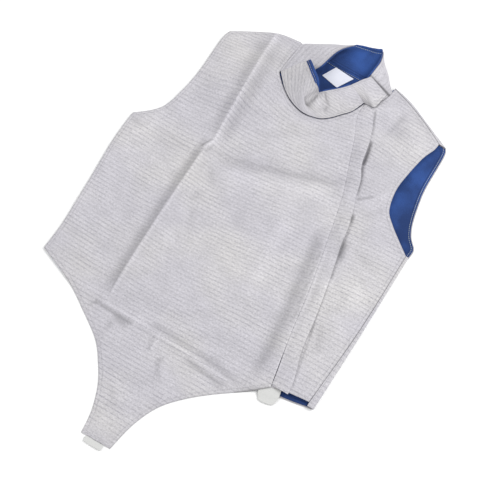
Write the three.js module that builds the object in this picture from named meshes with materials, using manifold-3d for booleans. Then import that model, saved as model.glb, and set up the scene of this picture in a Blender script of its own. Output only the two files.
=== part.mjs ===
// Fencing over-vest of silver conductive cloth with a blue lining, laid on its back on a flat surface.
// Millimetres, +Z up. z = 0 is the surface it lies on. +Y runs from the hem to the collar and
// +X to the wearer's left. x = 0 is the line from the throat to the end of the tail.

import * as THREE from 'three';
import { mergeVertices } from 'three/addons/utils/BufferGeometryUtils.js';
import Module from 'manifold-3d';

const wasm = await Module();
wasm.setup();

// A table keeps its rows as objects with named columns.
function table(columns, rows) {
  const names = columns.split(' ');
  return rows.map((row) => Object.fromEntries(names.map((name, i) => [name, row[i]])));
}

// Walls and gaps
const CLOTH = 1.4;
const COLLAR_CLOTH = 1.6;
const LINING = 1.0;
const ELASTIC = 1.6;
const LABEL = 1.0;
const SEAM = 0.3;

// How the layers lie
const INSIDE = CLOTH + SEAM + LINING + SEAM;   // underside of the front where it lies on the back
const SIDE_TOP = 7.2;                          // top of the back's turned edge on the right side
const HEM_Y = -212;                            // hem of the back, where the front steps down to the surface
const HEM_STEP = 20;                           // length of that step
const ARMHOLE_FOOT_Y = 83;                     // foot of the left armhole
const ARMHOLE_LEAN = 0.23;                     // how far its edge leans in for each millimetre up
const SHOULDER_Y = 357;                        // the shoulder seam beside the neck
const SHOULDER_DROP = 0.4;                     // how far that seam drops for each millimetre outwards
const NECK_HALF = 90;
const RIGHT_X = 262;

// Air under the front, and how far in from its edges it takes to rise
const PUFF = 3.5;
const SIDE_EASE = 70;
const SHOULDER_EASE = 50;
const HEM_EASE = 60;

// What lifts the front locally: the collar, the right armhole and the open hem beside the zip
const RISES = table('x y reachX reachY rise', [[0, 292, 85, 75, 7], [190, 200, 45, 80, 5]]);
const HEM_GAPE = table('x y reachX reachY rise', [[192, -205, 45, 35, 4]]);

// The front climbs to the turned edge on the right between these x, and stops doing so between these y.
const SIDE_CLIMB = { x1: 175, x2: 235, y1: 60, y2: 250 };

// Cut edges, each from one corner of the garment to the next
const SIDE_LEFT = table('x y', [[-262, 83], [-261, 24], [-252, -60], [-244, -144], [-244, -196]]);
const ARMHOLE_LEFT = table('x y', [
  [-208, 310], [-212, 290], [-210, 221], [-212, 175], [-219, 133], [-232, 109], [-262, 83],
]);
const SHOULDER_LEFT = table('x y', [[-89, 354], [-128, 351], [-165, 335], [-208, 310]]);
const THROAT_LEFT = table('x y', [[-84, 352], [-86, 335], [-87, 317], [-88, 298], [-88, 282]]);
const THROAT_FRONT = table('x y', [
  [-88, 279], [-79, 268], [-64, 254], [-44, 239], [-23, 230], [-7, 228],
  [6, 230], [19, 234], [32, 244], [45, 259], [57, 274], [67, 298],
]);
const THROAT_RIGHT = table('x y', [[68, 298], [84, 312], [94, 332], [97, 355]]);
const SHOULDER_RIGHT = table('x y', [[97, 355], [134, 341], [171, 322], [210, 297]]);
const ARMHOLE_RIGHT = table('x y', [
  [210, 297], [208, 281], [199, 255], [191, 208], [189, 177], [196, 143], [213, 123], [234, 105], [255, 88],
]);
const SIDE_SEAM = table('x y', [[255, 88], [250.5, -57], [239, -194]]);
const HEM_RIGHT = table('x y', [[239, -194], [201, -199], [180, -204]]);
const TAIL_RIGHT = table('x y', [
  [179, -204], [160, -221], [112, -256], [77, -286], [51, -317], [34, -357], [25, -403],
]);
const TAIL_LEFT = table('x y', [
  [-25, -405], [-30, -372], [-44, -335], [-64, -305], [-88, -278],
  [-127, -252], [-180, -221], [-244, -196],
]);

// The back reaches past the front at the right shoulder, the right armhole and the hem.
const BACK_SIDE = table('x y', [[260, 88], [258, 20], [255, -81], [250, -200]]);
const BACK_ARMHOLE = table('x y', [
  [224, 296], [228, 280], [228, 215], [232, 180], [239, 145], [248, 123], [261, 106], [260, 88],
]);
const BACK_SHOULDER = table('x y', [[97, 358], [134, 346], [171, 326], [224, 296]]);
const BACK_NECK = table('x y', [
  [-85, 354], [-54, 354], [-27, 349], [2, 347], [32, 346], [58, 344], [77, 345], [90, 347], [97, 355.4],
]);
const BACK_HEM = table('x y', [
  [246.5, -200], [205, -208], [150, -212], [0, -212], [-150, -210], [-244, -196],
]);

const LINING_INSET = 1.5;
const TURN_LIFT = 0.1;      // a turned edge starts this far inside the back's own thickness
const TURN_LAP = 10;
const TURN_STEPS = 6;
const TURN_ROWS = 4;        // rows of a turned edge from one point of its line to the next

// The zip flap: where it is stitched down and where it ends. Both lines run past the garment.
const FLAP_STITCH = table('x y', [
  [68, 420], [68, 298], [69, 268], [86, 227], [98, 190], [116, 137], [127, 91],
  [136, 45], [151, -34], [164, -121], [179, -204], [190, -420],
]);
const FLAP_EDGE = table('x y', [
  [86, 420], [86, 296], [95, 276], [105, 253], [113, 221], [119, 191], [130, 169], [138, 139],
  [152, 92], [159, 49], [171, -8], [182, -67], [191, -131], [206, -192], [215, -420],
]);
const FLAP_TOP_Y = 292;
const FLAP_HEM_Y = -201;
const FLAP_TUCK = 5;        // cloth of the flap beyond its stitch line
const FLAP_TUCK_EASE = 40;  // length over which the tuck widens from the top of the flap
const FLAP_ROWS = 30;

// The long crease that was pressed into the left of the front
const PRESSED = table('x y', [
  [-128, 420], [-128, 339], [-126, 245], [-120, 175], [-112, 112], [-118, 80],
  [-117, 7], [-110, -93], [-105, -170], [-105, -420],
]);

// Folds of the front: a row is a ridge, or a trough where its rise is below 0. It runs from (x1, y1)
// to (x2, y2), bowed to its left by "bow", and fades out over "fade" of its length at both ends.
const FOLDS = table('x1 y1 x2 y2 bow width rise fade', [
  [-133, 352, -113, 106, -2, 6, 3.2, 0.05],      // pressed crease, upper half
  [-150, 345, -131, 112, -3, 13, -2.2, 0.2],
  [-116, 340, -97, 108, -3, 10, -2.2, 0.2],
  [-110, 112, -122, 84, 0, 5, 2.8, 0.25],         // kink
  [-119, 92, -108, -215, -2, 6, 3.2, 0.08],        // pressed crease, lower half
  [-132, 92, -120, -215, -2, 11, -2.8, 0.1],
  [-100, 76, 122, 157, -3, 8, -2.8, 0.1],        // across the chest
  [-82, 52, 108, 124, -2, 16, 2.4, 0.2],
  [-212, 60, -138, 57, 0, 9, -1.4, 0.3],
  [-245, 42, -222, 86, 0, 8, 2.0, 0.3],          // below the left armhole
  [-178, 124, -156, 232, 4, 20, -1.6, 0.4],
  [112, 70, 150, -212, 4, 13, -2.8, 0.15],       // beside the zip
  [46, 92, 70, -135, 8, 13, 2.2, 0.35],          // soft ridge down the middle
  [-8, 48, -6, -25, 0, 14, -1.6, 0.4],
  [-106, -22, -72, -52, 3, 8, 1.8, 0.35],
  [-102, -76, -66, -92, 3, 8, 1.6, 0.35],
  [-95, -12, -82, 20, 0, 8, -1.4, 0.35],
  [-120, -221, 130, -227, 4, 6, 1.6, 0.15],      // over the hem of the back
  [-176, -222, -118, -215, 0, 7, 1.6, 0.3],
  [140, 131, 182, 168, -4, 7, 2.2, 0.3],         // side front
  [155, 107, 190, 145, -3, 8, -1.8, 0.3],
  [130, 268, 138, 322, 0, 9, -2.0, 0.4],
  [190, -50, 238, -92, 4, 10, 1.8, 0.4],
  [178, -78, 212, -115, 3, 9, -1.4, 0.4],
]);

// Folds of the tail, which lies on the surface and only has ridges
const TAIL_FOLDS = table('x1 y1 x2 y2 bow width rise fade', [
  [-99, -245, -76, -276, 0, 7, 2.0, 0.4],
  [20, -239, 50, -274, -18, 7, 2.4, 0.25],
  [-37, -313, 0, -354, 5, 7, 2.0, 0.35],
  [-20, -255, 4, -300, 4, 12, 1.4, 0.45],
]);

// Where the free edge of the flap stands up
const FLAP_LIFTS = table('x y reachX reachY rise', [
  [111, 226, Infinity, 26, 5.5], [131, 165, Infinity, 16, 2.5],
  [155, 72, Infinity, 34, 4.5], [186, -95, Infinity, 45, 1.6],
]);

// The columns of the cloth's grid follow these lines, "count" columns up to each.
const COLUMN_STEPS = [5, 2, 2, 4, 5, 1, 2, 6];
const CREASE_HALF = 14;
const STITCH_SIDE = 8;
const CHEST_SPLIT = 0.2;    // a column this share of the way from the middle to the pressed crease
const ROW_SPANS = table('from to step', [
  [-412, -250, 18], [-250, -206, 8.8], [-206, 44, 19.2], [44, 164, 12], [164, 228, 16], [228, 364, 13.6],
]);
const GRID_HALF_WIDTH = 268;

// Collar stations: b is on the neck seam, m half way up, t on the top edge
const COLUMNS = 'bx by bz mx my mz tx ty tz';
const COLLAR_FRONT = table(COLUMNS, [
  [66, 298, 13, 53, 301, 24, 35, 306, 33],
  [57, 274, 13, 42, 283, 26, 24, 292, 34],
  [45, 259, 13, 31, 269, 26, 13, 282, 33],
  [32, 244, 13, 20, 256, 24, 2, 274, 30],
  [19, 234, 13, 1, 249, 19, -5, 271, 25],
  [6, 230, 13, -17, 247, 16, -7, 271, 24],       // floor of the dent
  [-7, 228, 13, -22, 250, 22, -11, 273, 37],     // lip of the dent
  [-23, 230, 13, -29, 256, 27, -19, 282, 42],
  [-44, 239, 13, -41, 265, 28, -30, 291, 43],
  [-64, 254, 13, -54, 278, 28, -40, 300, 43],
  [-84, 275, 13, -68, 292, 26, -49, 308, 41],
]);
const COLLAR_TAB = table(COLUMNS, [
  [91, 334, 13, 73, 336, 23.5, 56, 338, 33.5],
  [85, 300, 15, 68, 310, 25, 46, 323.5, 34.5],
  [66.8, 298.4, 13.3, 53.8, 301.4, 24.3, 35.8, 306.2, 33.3],
]);
const COLLAR_LEFT = table(COLUMNS, [
  [-87.7, 282, 9.5, -64, 296, 15, -36, 306, 21],
  [-87.7, 298, 9.5, -59, 308, 19, -29, 316, 27],
  [-86.7, 317, 8.8, -55, 323, 21, -25, 331, 29],
  [-85.7, 335, 7, -51, 339, 21, -21, 349, 29],
  [-83.2, 351, 6.9, -48, 355, 20, -16, 364, 27],
  [-60, 365, 8, -33, 368, 18, -9, 377, 24],
  [-32, 378, 12, -17, 382, 16, -2, 388, 20],
]);
const COLLAR_BACK = table(COLUMNS, [
  [-54, 355, 1, -32, 380, 2, -2, 395, 10],
  [-27, 350, 1, -12, 376, 3, 9, 397, 12],
  [2, 348, 1, 12, 376, 4, 24, 399, 14],
  [32, 347, 1, 36, 371, 6, 36, 401, 16],
  [58, 345, 2, 61, 371, 11, 48, 402, 19],
  [76, 346, 3, 75, 368, 15, 55, 378, 27],
  [90, 349, 4, 83, 352, 18, 55, 358, 31],
  [94, 341, 6, 79, 338, 19, 53, 338, 29],
  [90, 322, 7, 73, 321, 15, 50, 320, 22],
]);
const STATION_STEPS = 2;
const BAND_STEPS = 4;

const LABEL_CORNERS = table('x y', [[-24, 315], [-11, 342], [27, 337], [10, 306]]);

// Elastic at the hem and at the end of the tail: where it starts, and its heights along its reach
const HEM_LOOP = { x: 181, y: -194, width: 33, reach: 34, turn: 18 };
const HEM_LOOP_HEIGHTS = [3.1, 3.1, 3.1, 3.1, 2.9, 1.2, 0.2, 0];
const TAIL_LOOP = { x: -0.5, y: -404.5, width: 31, reach: 9, turn: 1 };
const TAIL_LOOP_HEIGHTS = [0, 0, 0];

// Materials
const silver = new THREE.MeshStandardMaterial({ color: 0xcccbcf, roughness: 0.55, metalness: 0.25 });
const blue = new THREE.MeshStandardMaterial({ color: 0x375796, roughness: 0.85, metalness: 0 });
const white = new THREE.MeshStandardMaterial({ color: 0xeef0f5, roughness: 0.7, metalness: 0 });

const MIDDLE_SHIFT = 6.5;      // brings the middle of the whole garment over the origin
const CURVE_STEPS = 3;         // points on an edge from one row of its table to the next
const SHORTEST_STEP = 0.6;     // points of an outline closer than this are one point
const CUTTER = { bottom: -10, height: 100 };
const garment = new THREE.Group();

function addPiece(name, geometry, material) {
  const mesh = new THREE.Mesh(geometry, material);
  mesh.name = name;
  garment.add(mesh);
}

const { smoothstep, lerp, degToRad } = THREE.MathUtils;

// Curves

function smoothLine(rows, steps = CURVE_STEPS) {
  const curve = new THREE.SplineCurve(rows.map((row) => new THREE.Vector2(row.x, row.y)));
  return curve.getPoints(steps * (rows.length - 1));
}

// x of a line at height y, by a Hermite curve through its rows, which run down the garment
function lineX(rows, y) {
  const last = rows.length - 1;
  let i = 0;
  while (i < last - 1 && rows[i + 1].y > y) i++;
  const [p0, p1, p2, p3] = [Math.max(i - 1, 0), i, i + 1, Math.min(i + 2, last)].map((k) => rows[k]);
  const span = p2.y - p1.y;
  const t = THREE.MathUtils.clamp((y - p1.y) / span, 0, 1);
  const m1 = ((p2.x - p0.x) / (p2.y - p0.y)) * span;
  const m2 = ((p3.x - p1.x) / (p3.y - p1.y)) * span;
  const a = 2 * t ** 3 - 3 * t ** 2 + 1;
  const b = t ** 3 - 2 * t ** 2 + t;
  const c = -2 * t ** 3 + 3 * t ** 2;
  const d = t ** 3 - t ** 2;
  return a * p1.x + b * m1 + c * p2.x + d * m2;
}

// The line moved to its left
function offsetLine(points, distance, closed = false) {
  return points.map((point, i) => {
    const before = closed ? points.at(i - 1) : points[Math.max(i - 1, 0)];
    const after = closed ? points[(i + 1) % points.length] : points[Math.min(i + 1, points.length - 1)];
    const along = after.clone().sub(before).normalize();
    return new THREE.Vector2(point.x - along.y * distance, point.y + along.x * distance);
  });
}

// How the front drapes

function foldHeight(fold, x, y) {
  const length = Math.hypot(fold.x2 - fold.x1, fold.y2 - fold.y1);
  const ux = (fold.x2 - fold.x1) / length;
  const uy = (fold.y2 - fold.y1) / length;
  const s = ((x - fold.x1) * ux + (y - fold.y1) * uy) / length;
  if (s < 0 || s > 1) return 0;
  const side = (y - fold.y1) * ux - (x - fold.x1) * uy - fold.bow * 4 * s * (1 - s);
  const ends = smoothstep(s, 0, fold.fade) * smoothstep(1 - s, 0, fold.fade);
  return fold.rise * ends * Math.exp(-((side / fold.width) ** 2));
}

function folds(rows, x, y) {
  return rows.reduce((sum, fold) => sum + foldHeight(fold, x, y), 0);
}

// Sum of the round rises of a table at (x, y)
function riseAt(rises, x, y) {
  return rises.reduce((sum, row) => {
    const away = ((x - row.x) / row.reachX) ** 2 + ((y - row.y) / row.reachY) ** 2;
    return sum + row.rise * Math.exp(-away);
  }, 0);
}

// 0 at the garment's edge and 1 in its middle, where the front stands off the back
function awayFromEdges(x, y) {
  const aboveFoot = Math.max(0, y - ARMHOLE_FOOT_Y);
  const fromLeft = x - lineX(SIDE_LEFT, y - aboveFoot) - aboveFoot * ARMHOLE_LEAN;
  const fromShoulder = SHOULDER_Y - Math.max(0, Math.abs(x) - NECK_HALF) * SHOULDER_DROP - y;
  return smoothstep(fromLeft, 0, SIDE_EASE) * smoothstep(RIGHT_X - x, 0, SIDE_EASE)
    * smoothstep(fromShoulder, 0, SHOULDER_EASE) * smoothstep(y, HEM_Y, HEM_Y + HEM_EASE);
}

// Underside of the front at (x, y)
function drape(x, y) {
  const overBack = smoothstep(y, HEM_Y - HEM_STEP, HEM_Y);
  const beside = smoothstep(x, SIDE_CLIMB.x1, SIDE_CLIMB.x2);
  const climb = beside * (1 - smoothstep(y, SIDE_CLIMB.y1, SIDE_CLIMB.y2));
  const onBack = INSIDE + (SIDE_TOP - CLOTH - INSIDE) * climb + riseAt(HEM_GAPE, x, y) + folds(FOLDS, x, y);
  const z = overBack * onBack + (1 - overBack) * folds(TAIL_FOLDS, x, y)
    + PUFF * awayFromEdges(x, y) + riseAt(RISES, x, y);
  return Math.max(z, INSIDE * overBack);
}

// Meshes

// A closed body from points and triangles, turned so that its faces point out
function closedBody(points, triangles) {
  const position = new Float32Array(points.flatMap((p) => [p.x, p.y, p.z]));
  let volume = 0;
  for (const [a, b, c] of triangles) {
    volume += points[a].dot(new THREE.Vector3().crossVectors(points[b], points[c]));
  }
  const index = triangles.flatMap(([a, b, c]) => (volume > 0 ? [a, b, c] : [a, c, b]));
  const geometry = new THREE.BufferGeometry();
  geometry.setAttribute('position', new THREE.BufferAttribute(position, 3));
  geometry.setIndex(index);
  return geometry;
}

// A wall between two grids of points that face each other
function wallBetween(outer, inner) {
  const rows = outer.length;
  const columns = outer[0].length;
  const points = [...outer.flat(), ...inner.flat()];
  const at = (layer, i, j) => layer * rows * columns + i * columns + j;
  const triangles = [];
  const quad = (a, b, c, d) => triangles.push([a, b, c], [a, c, d]);
  for (let i = 0; i < rows - 1; i++) {
    for (let j = 0; j < columns - 1; j++) {
      quad(at(0, i, j), at(0, i + 1, j), at(0, i + 1, j + 1), at(0, i, j + 1));
      quad(at(1, i, j), at(1, i, j + 1), at(1, i + 1, j + 1), at(1, i + 1, j));
    }
  }
  const end = columns - 1;
  for (let i = 0; i < rows - 1; i++) {
    quad(at(0, i, 0), at(1, i, 0), at(1, i + 1, 0), at(0, i + 1, 0));
    quad(at(0, i + 1, end), at(1, i + 1, end), at(1, i, end), at(0, i, end));
  }
  for (let j = 0; j < columns - 1; j++) {
    quad(at(0, 0, j + 1), at(1, 0, j + 1), at(1, 0, j), at(0, 0, j));
    quad(at(0, rows - 1, j), at(1, rows - 1, j), at(1, rows - 1, j + 1), at(0, rows - 1, j + 1));
  }
  return closedBody(points, triangles);
}

function toManifold(geometry) {
  const bare = geometry.clone();
  bare.deleteAttribute('normal');
  bare.deleteAttribute('uv');
  const merged = mergeVertices(bare, 1e-4);
  return new wasm.Manifold(new wasm.Mesh({
    numProp: 3,
    vertProperties: merged.attributes.position.array,
    triVerts: new Uint32Array(merged.index.array),
  }));
}

function fromManifold(body) {
  const mesh = body.getMesh();
  const geometry = new THREE.BufferGeometry();
  geometry.setAttribute('position', new THREE.BufferAttribute(mesh.vertProperties, 3));
  geometry.setIndex(new THREE.BufferAttribute(mesh.triVerts, 1));
  return geometry;
}

// A flat plate of the outline's shape
function plate(outline, bottom, thickness) {
  const shape = new THREE.Shape(outline);
  const geometry = new THREE.ExtrudeGeometry(shape, { depth: thickness, bevelEnabled: false });
  return geometry.translate(0, 0, bottom);
}

// Draped cloth

function gridRows() {
  const rows = ROW_SPANS.flatMap(({ from, to, step }) => {
    const count = Math.round((to - from) / step);
    return Array.from({ length: count }, (_, i) => from + ((to - from) * i) / count);
  });
  return [...rows, ROW_SPANS.at(-1).to];
}

function gridColumns(y) {
  const crease = lineX(PRESSED, y);
  const stitch = lineX(FLAP_STITCH, y);
  const keys = [
    -GRID_HALF_WIDTH, crease - CREASE_HALF, crease, crease + CREASE_HALF, crease * CHEST_SPLIT,
    stitch - STITCH_SIDE, stitch, lineX(FLAP_EDGE, y), GRID_HALF_WIDTH,
  ];
  const columns = [keys[0]];
  COLUMN_STEPS.forEach((count, k) => {
    for (let i = 1; i <= count; i++) columns.push(lerp(keys[k], keys[k + 1], i / count));
  });
  return columns;
}

function drapedCloth(outline, underside) {
  const grid = gridRows().map((y) => gridColumns(y).map((x) => new THREE.Vector3(x, y, underside(x, y))));
  const top = grid.map((row) => row.map((p) => p.clone().setZ(p.z + CLOTH)));
  const cutter = toManifold(plate(outline, CUTTER.bottom, CUTTER.height));
  return fromManifold(toManifold(wallBetween(top, grid)).intersect(cutter));
}

// Collar bands

function bandGrid(stations) {
  const line = (key) => new THREE.CatmullRomCurve3(
    stations.map((s) => new THREE.Vector3(s[`${key}x`], s[`${key}y`], s[`${key}z`])), false, 'centripetal',
  );
  const [bottom, middle, top] = ['b', 'm', 't'].map(line);
  const count = (stations.length - 1) * STATION_STEPS;
  return Array.from({ length: count + 1 }, (_, i) => {
    const t = i / count;
    const across = new THREE.CatmullRomCurve3([bottom.getPoint(t), middle.getPoint(t), top.getPoint(t)]);
    return across.getPoints(BAND_STEPS);
  });
}

// The grid moved along its own normals, which on the collar point to the wearer's neck
function offsetGrid(grid, distance) {
  return grid.map((row, i) => row.map((point, j) => {
    const along = grid[Math.min(i + 1, grid.length - 1)][j].clone().sub(grid[Math.max(i - 1, 0)][j]);
    const up = row[Math.min(j + 1, row.length - 1)].clone().sub(row[Math.max(j - 1, 0)]);
    return point.clone().addScaledVector(along.cross(up).normalize(), distance);
  }));
}

function addBand(name, stations) {
  const outer = bandGrid(stations);
  addPiece(name, wallBetween(outer, offsetGrid(outer, COLLAR_CLOTH)), silver);
}

function addBandLining(name, stations) {
  const outer = bandGrid(stations);
  const [start, end] = [COLLAR_CLOTH + SEAM, COLLAR_CLOTH + SEAM + LINING]
    .map((depth) => offsetGrid(outer, depth));
  addPiece(name, wallBetween(start, end), blue);
}

// Outlines

// Edges joined end to end, without the points that they share
function closedOutline(...edges) {
  const points = edges.flat();
  return points.filter((point, i) => point.distanceTo(points.at(i - 1)) > SHORTEST_STEP);
}

function moved(points, x, y) {
  return points.map((point) => new THREE.Vector2(point.x + x, point.y + y));
}

const stitchLine = smoothLine(FLAP_STITCH.slice(1, -1));
const throatFront = offsetLine(smoothLine(THROAT_FRONT), -SEAM);
const throatLeft = offsetLine(smoothLine(THROAT_LEFT), -SEAM);

function frontOutline() {
  return closedOutline(
    smoothLine(SHOULDER_LEFT), smoothLine(ARMHOLE_LEFT), smoothLine(SIDE_LEFT),
    smoothLine(TAIL_LEFT).reverse(), smoothLine(TAIL_RIGHT).reverse(), stitchLine.toReversed(),
    throatFront.toReversed(), throatLeft.toReversed(),
  );
}

function sideFrontOutline() {
  return closedOutline(
    offsetLine(smoothLine(THROAT_RIGHT), -SEAM), smoothLine(SHOULDER_RIGHT), smoothLine(ARMHOLE_RIGHT),
    smoothLine(SIDE_SEAM), smoothLine(HEM_RIGHT), moved(stitchLine, SEAM, 0).reverse(),
  );
}

// The back's outline, whose right shoulder and right side follow the given lines
function backOutline(shoulder, side) {
  return closedOutline(
    offsetLine(smoothLine(BACK_NECK), -SEAM), shoulder, smoothLine(BACK_ARMHOLE), side,
    smoothLine(BACK_HEM), smoothLine(SIDE_LEFT).reverse(),
    smoothLine(ARMHOLE_LEFT).reverse(), smoothLine(SHOULDER_LEFT).reverse(),
  );
}

function flapOutline() {
  const tuck = (y) => FLAP_TUCK * smoothstep(FLAP_TOP_Y - y, 0, FLAP_TUCK_EASE);
  const line = (x) => Array.from({ length: FLAP_ROWS + 1 }, (_, i) => {
    const y = lerp(FLAP_TOP_Y, FLAP_HEM_Y, i / FLAP_ROWS);
    return new THREE.Vector2(x(y), y);
  });
  const free = line((y) => lineX(FLAP_EDGE, y));
  const sewn = line((y) => lineX(FLAP_STITCH, y) - tuck(y));
  return closedOutline(free, sewn.reverse());
}

// Silver panels

function flapUnderside(x, y) {
  const stitch = lineX(FLAP_STITCH, y);
  const across = (x - stitch) / (lineX(FLAP_EDGE, y) - stitch);
  const free = smoothstep(across, 0, 1);
  const lift = riseAt(FLAP_LIFTS, x, y);
  return drape(x, y) + CLOTH + SEAM + lift * free;
}

// The back's cloth turned up round an edge, from under the back to its seam on the front. The two
// lines are given point by point. "height" is the top of the turned cloth at a point of the seam.
function turnedEdge(edge, seam, height) {
  return edge.map((point, k) => {
    const inward = seam[k].clone().sub(point);
    const reach = inward.length() - SEAM;
    inward.normalize();
    const top = height(seam[k]);
    const radius = (top - TURN_LIFT) / 2;
    const arc = Array.from({ length: TURN_STEPS + 1 }, (_, i) => {
      const angle = Math.PI * (i / TURN_STEPS - 0.5);
      return [radius * (1 - Math.cos(angle)), TURN_LIFT + radius * (1 + Math.sin(angle))];
    });
    const section = [[radius + TURN_LAP, TURN_LIFT], ...arc, [reach, top]];
    return section.map(([inside, z]) => new THREE.Vector3(
      point.x + inward.x * inside, point.y + inward.y * inside, z,
    ));
  });
}

const sideEdge = smoothLine(BACK_SIDE, TURN_ROWS);
const sideSeam = sideEdge.map(({ y }) => {
  const x = lineX(SIDE_SEAM, Math.max(y, SIDE_SEAM.at(-1).y));
  return new THREE.Vector2(x, y);
});
const shoulderTop = ({ x, y }) => drape(x, y) + CLOTH;
const turnedSide = turnedEdge(sideEdge, sideSeam, () => SIDE_TOP);
const turnedShoulder = turnedEdge(
  smoothLine(BACK_SHOULDER, TURN_ROWS), smoothLine(SHOULDER_RIGHT, TURN_ROWS), shoulderTop,
);

addPiece('front', drapedCloth(frontOutline(), drape), silver);
addPiece('side_front', drapedCloth(sideFrontOutline(), drape), silver);
addPiece('zip_flap', drapedCloth(flapOutline(), flapUnderside), silver);

// The flat part of the back ends where its turned edges begin to curve up.
const [shoulderBend, sideBend] = [turnedShoulder, turnedSide]
  .map((grid) => grid.map((section) => new THREE.Vector2(section[1].x, section[1].y)));
const back = [turnedSide, turnedShoulder].reduce(
  (body, grid) => body.add(toManifold(wallBetween(grid, offsetGrid(grid, CLOTH - 2 * TURN_LIFT)))),
  toManifold(plate(backOutline(shoulderBend, sideBend), 0, CLOTH)),
);
addPiece('back', fromManifold(back), silver);

const liningEdge = offsetLine(backOutline(smoothLine(SHOULDER_RIGHT), sideBend), -LINING_INSET, true);
addPiece('back_lining', plate(liningEdge, CLOTH + SEAM, LINING), blue);

// Collar

addBand('collar_front', COLLAR_FRONT);
addBand('collar_tab', COLLAR_TAB);
addBand('collar_left', COLLAR_LEFT);
addBand('collar_back', COLLAR_BACK);
addBandLining('collar_front_lining', COLLAR_FRONT);
addBandLining('collar_left_lining', COLLAR_LEFT);
addBandLining('collar_back_lining', COLLAR_BACK);

// Label and elastic

const labelOutline = LABEL_CORNERS.map((corner) => new THREE.Vector2(corner.x, corner.y));
addPiece('label', plate(labelOutline, INSIDE, LABEL), white);

// A strip of elastic that leaves the garment at its root and ends after its reach
function strip(loop, heights, thickness) {
  const turn = degToRad(loop.turn);
  const out = new THREE.Vector3(Math.sin(turn), -Math.cos(turn), 0);
  const across = new THREE.Vector3(out.y, -out.x, 0);
  const grid = heights.map((z, i) => [-0.5, 0.5].map((side) => {
    const point = new THREE.Vector3(loop.x, loop.y, z);
    point.addScaledVector(out, (loop.reach * i) / (heights.length - 1));
    return point.addScaledVector(across, side * loop.width);
  }));
  const top = grid.map((row) => row.map((point) => point.clone().setZ(point.z + thickness)));
  return wallBetween(top, grid);
}

addPiece('hem_loop', strip(HEM_LOOP, HEM_LOOP_HEIGHTS, ELASTIC), white);
addPiece('tail_loop', strip(TAIL_LOOP, TAIL_LOOP_HEIGHTS, ELASTIC), white);

garment.position.y = MIDDLE_SHIFT;
export default garment;
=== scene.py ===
"""Fencing lame: a sleeveless over-vest of silver conductive cloth with a blue lining, laid flat.

Tables and shapes are in the garment's own millimetres: x to the wearer's left, y from hem to collar,
z up from the surface that it lies on. at() turns them into metres of the frame. Left and right are those
of the picture: the picture's right is the wearer's left.
"""

import math
from functools import partial
from types import SimpleNamespace

import bmesh
import bpy
from mathutils import Matrix, Vector, noise
from mathutils.kdtree import KDTree


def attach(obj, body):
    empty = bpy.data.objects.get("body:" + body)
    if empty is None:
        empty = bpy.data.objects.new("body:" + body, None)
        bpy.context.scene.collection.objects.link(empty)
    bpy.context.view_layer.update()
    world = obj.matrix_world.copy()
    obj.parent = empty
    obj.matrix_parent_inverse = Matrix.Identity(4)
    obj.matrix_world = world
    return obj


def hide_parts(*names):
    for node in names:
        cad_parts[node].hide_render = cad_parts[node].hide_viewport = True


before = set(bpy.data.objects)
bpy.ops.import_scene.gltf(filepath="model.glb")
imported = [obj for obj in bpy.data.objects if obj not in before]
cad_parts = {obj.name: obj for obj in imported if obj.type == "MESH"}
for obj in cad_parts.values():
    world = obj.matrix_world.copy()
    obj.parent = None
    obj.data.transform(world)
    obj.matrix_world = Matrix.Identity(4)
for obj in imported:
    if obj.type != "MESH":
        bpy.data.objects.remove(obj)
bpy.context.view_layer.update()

bl_info = {
    "name": "Fencing Lame",
    "version": (1, 0, 0),
    "blender": (4, 5, 0),
    "location": "View3D > Sidebar > Lame",
    "description": "Builds a fencing over-vest in conductive cloth, laid flat",
    "category": "Add Mesh",
}

MM = 0.001
NO_HEM = 60.0           # a distance to the edge at which no stitched groove shows
MIDDLE_SHIFT = 6.5      # brings the middle of the whole garment over the origin


def table(columns, rows):
    """Rows of a table as objects with named columns."""
    names = columns.split()
    return [SimpleNamespace(**dict(zip(names, row))) for row in rows]


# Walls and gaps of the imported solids, which the cloth follows
CLOTH = 1.4
LINING = 1.0
SEAM = 0.3
INSIDE = CLOTH + SEAM + LINING + SEAM       # underside of the front where it lies on the back

# Where the front begins to rise: its left edge, its shoulders and the hem that it steps down over
SIDE_TOP = 7.2              # top of the back's cloth where it is turned up at the side
HEM_Y = -212
HEM_STEP = 20
ARMHOLE_FOOT_Y = 83
ARMHOLE_LEAN = 0.23         # how far the left armhole's edge leans in for each millimetre up
SHOULDER_Y = 357
SHOULDER_DROP = 0.4         # how far the shoulder seam drops for each millimetre outwards
NECK_HALF = 90
RIGHT_X = 262

# Air under the front, how far in from its edges it takes to rise, and its uneven swells: size, height
PUFF = 3.5
SIDE_EASE = 70
SHOULDER_EASE = 50
HEM_EASE = 60
WAVERS = [(62, 0.9), (21, 0.3)]
LINING_WAVER = (30, 0.25)

# What lifts the front: the collar, the right armhole, the open hem beside the zip and the turned side
RISES = table("x y reach_x reach_y rise", [(0, 292, 85, 75, 7), (190, 200, 45, 80, 5)])
HEM_GAPE = table("x y reach_x reach_y rise", [(192, -205, 45, 35, 4)])
SIDE_CLIMB = SimpleNamespace(x1=175, x2=235, y1=60, y2=250)

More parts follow.
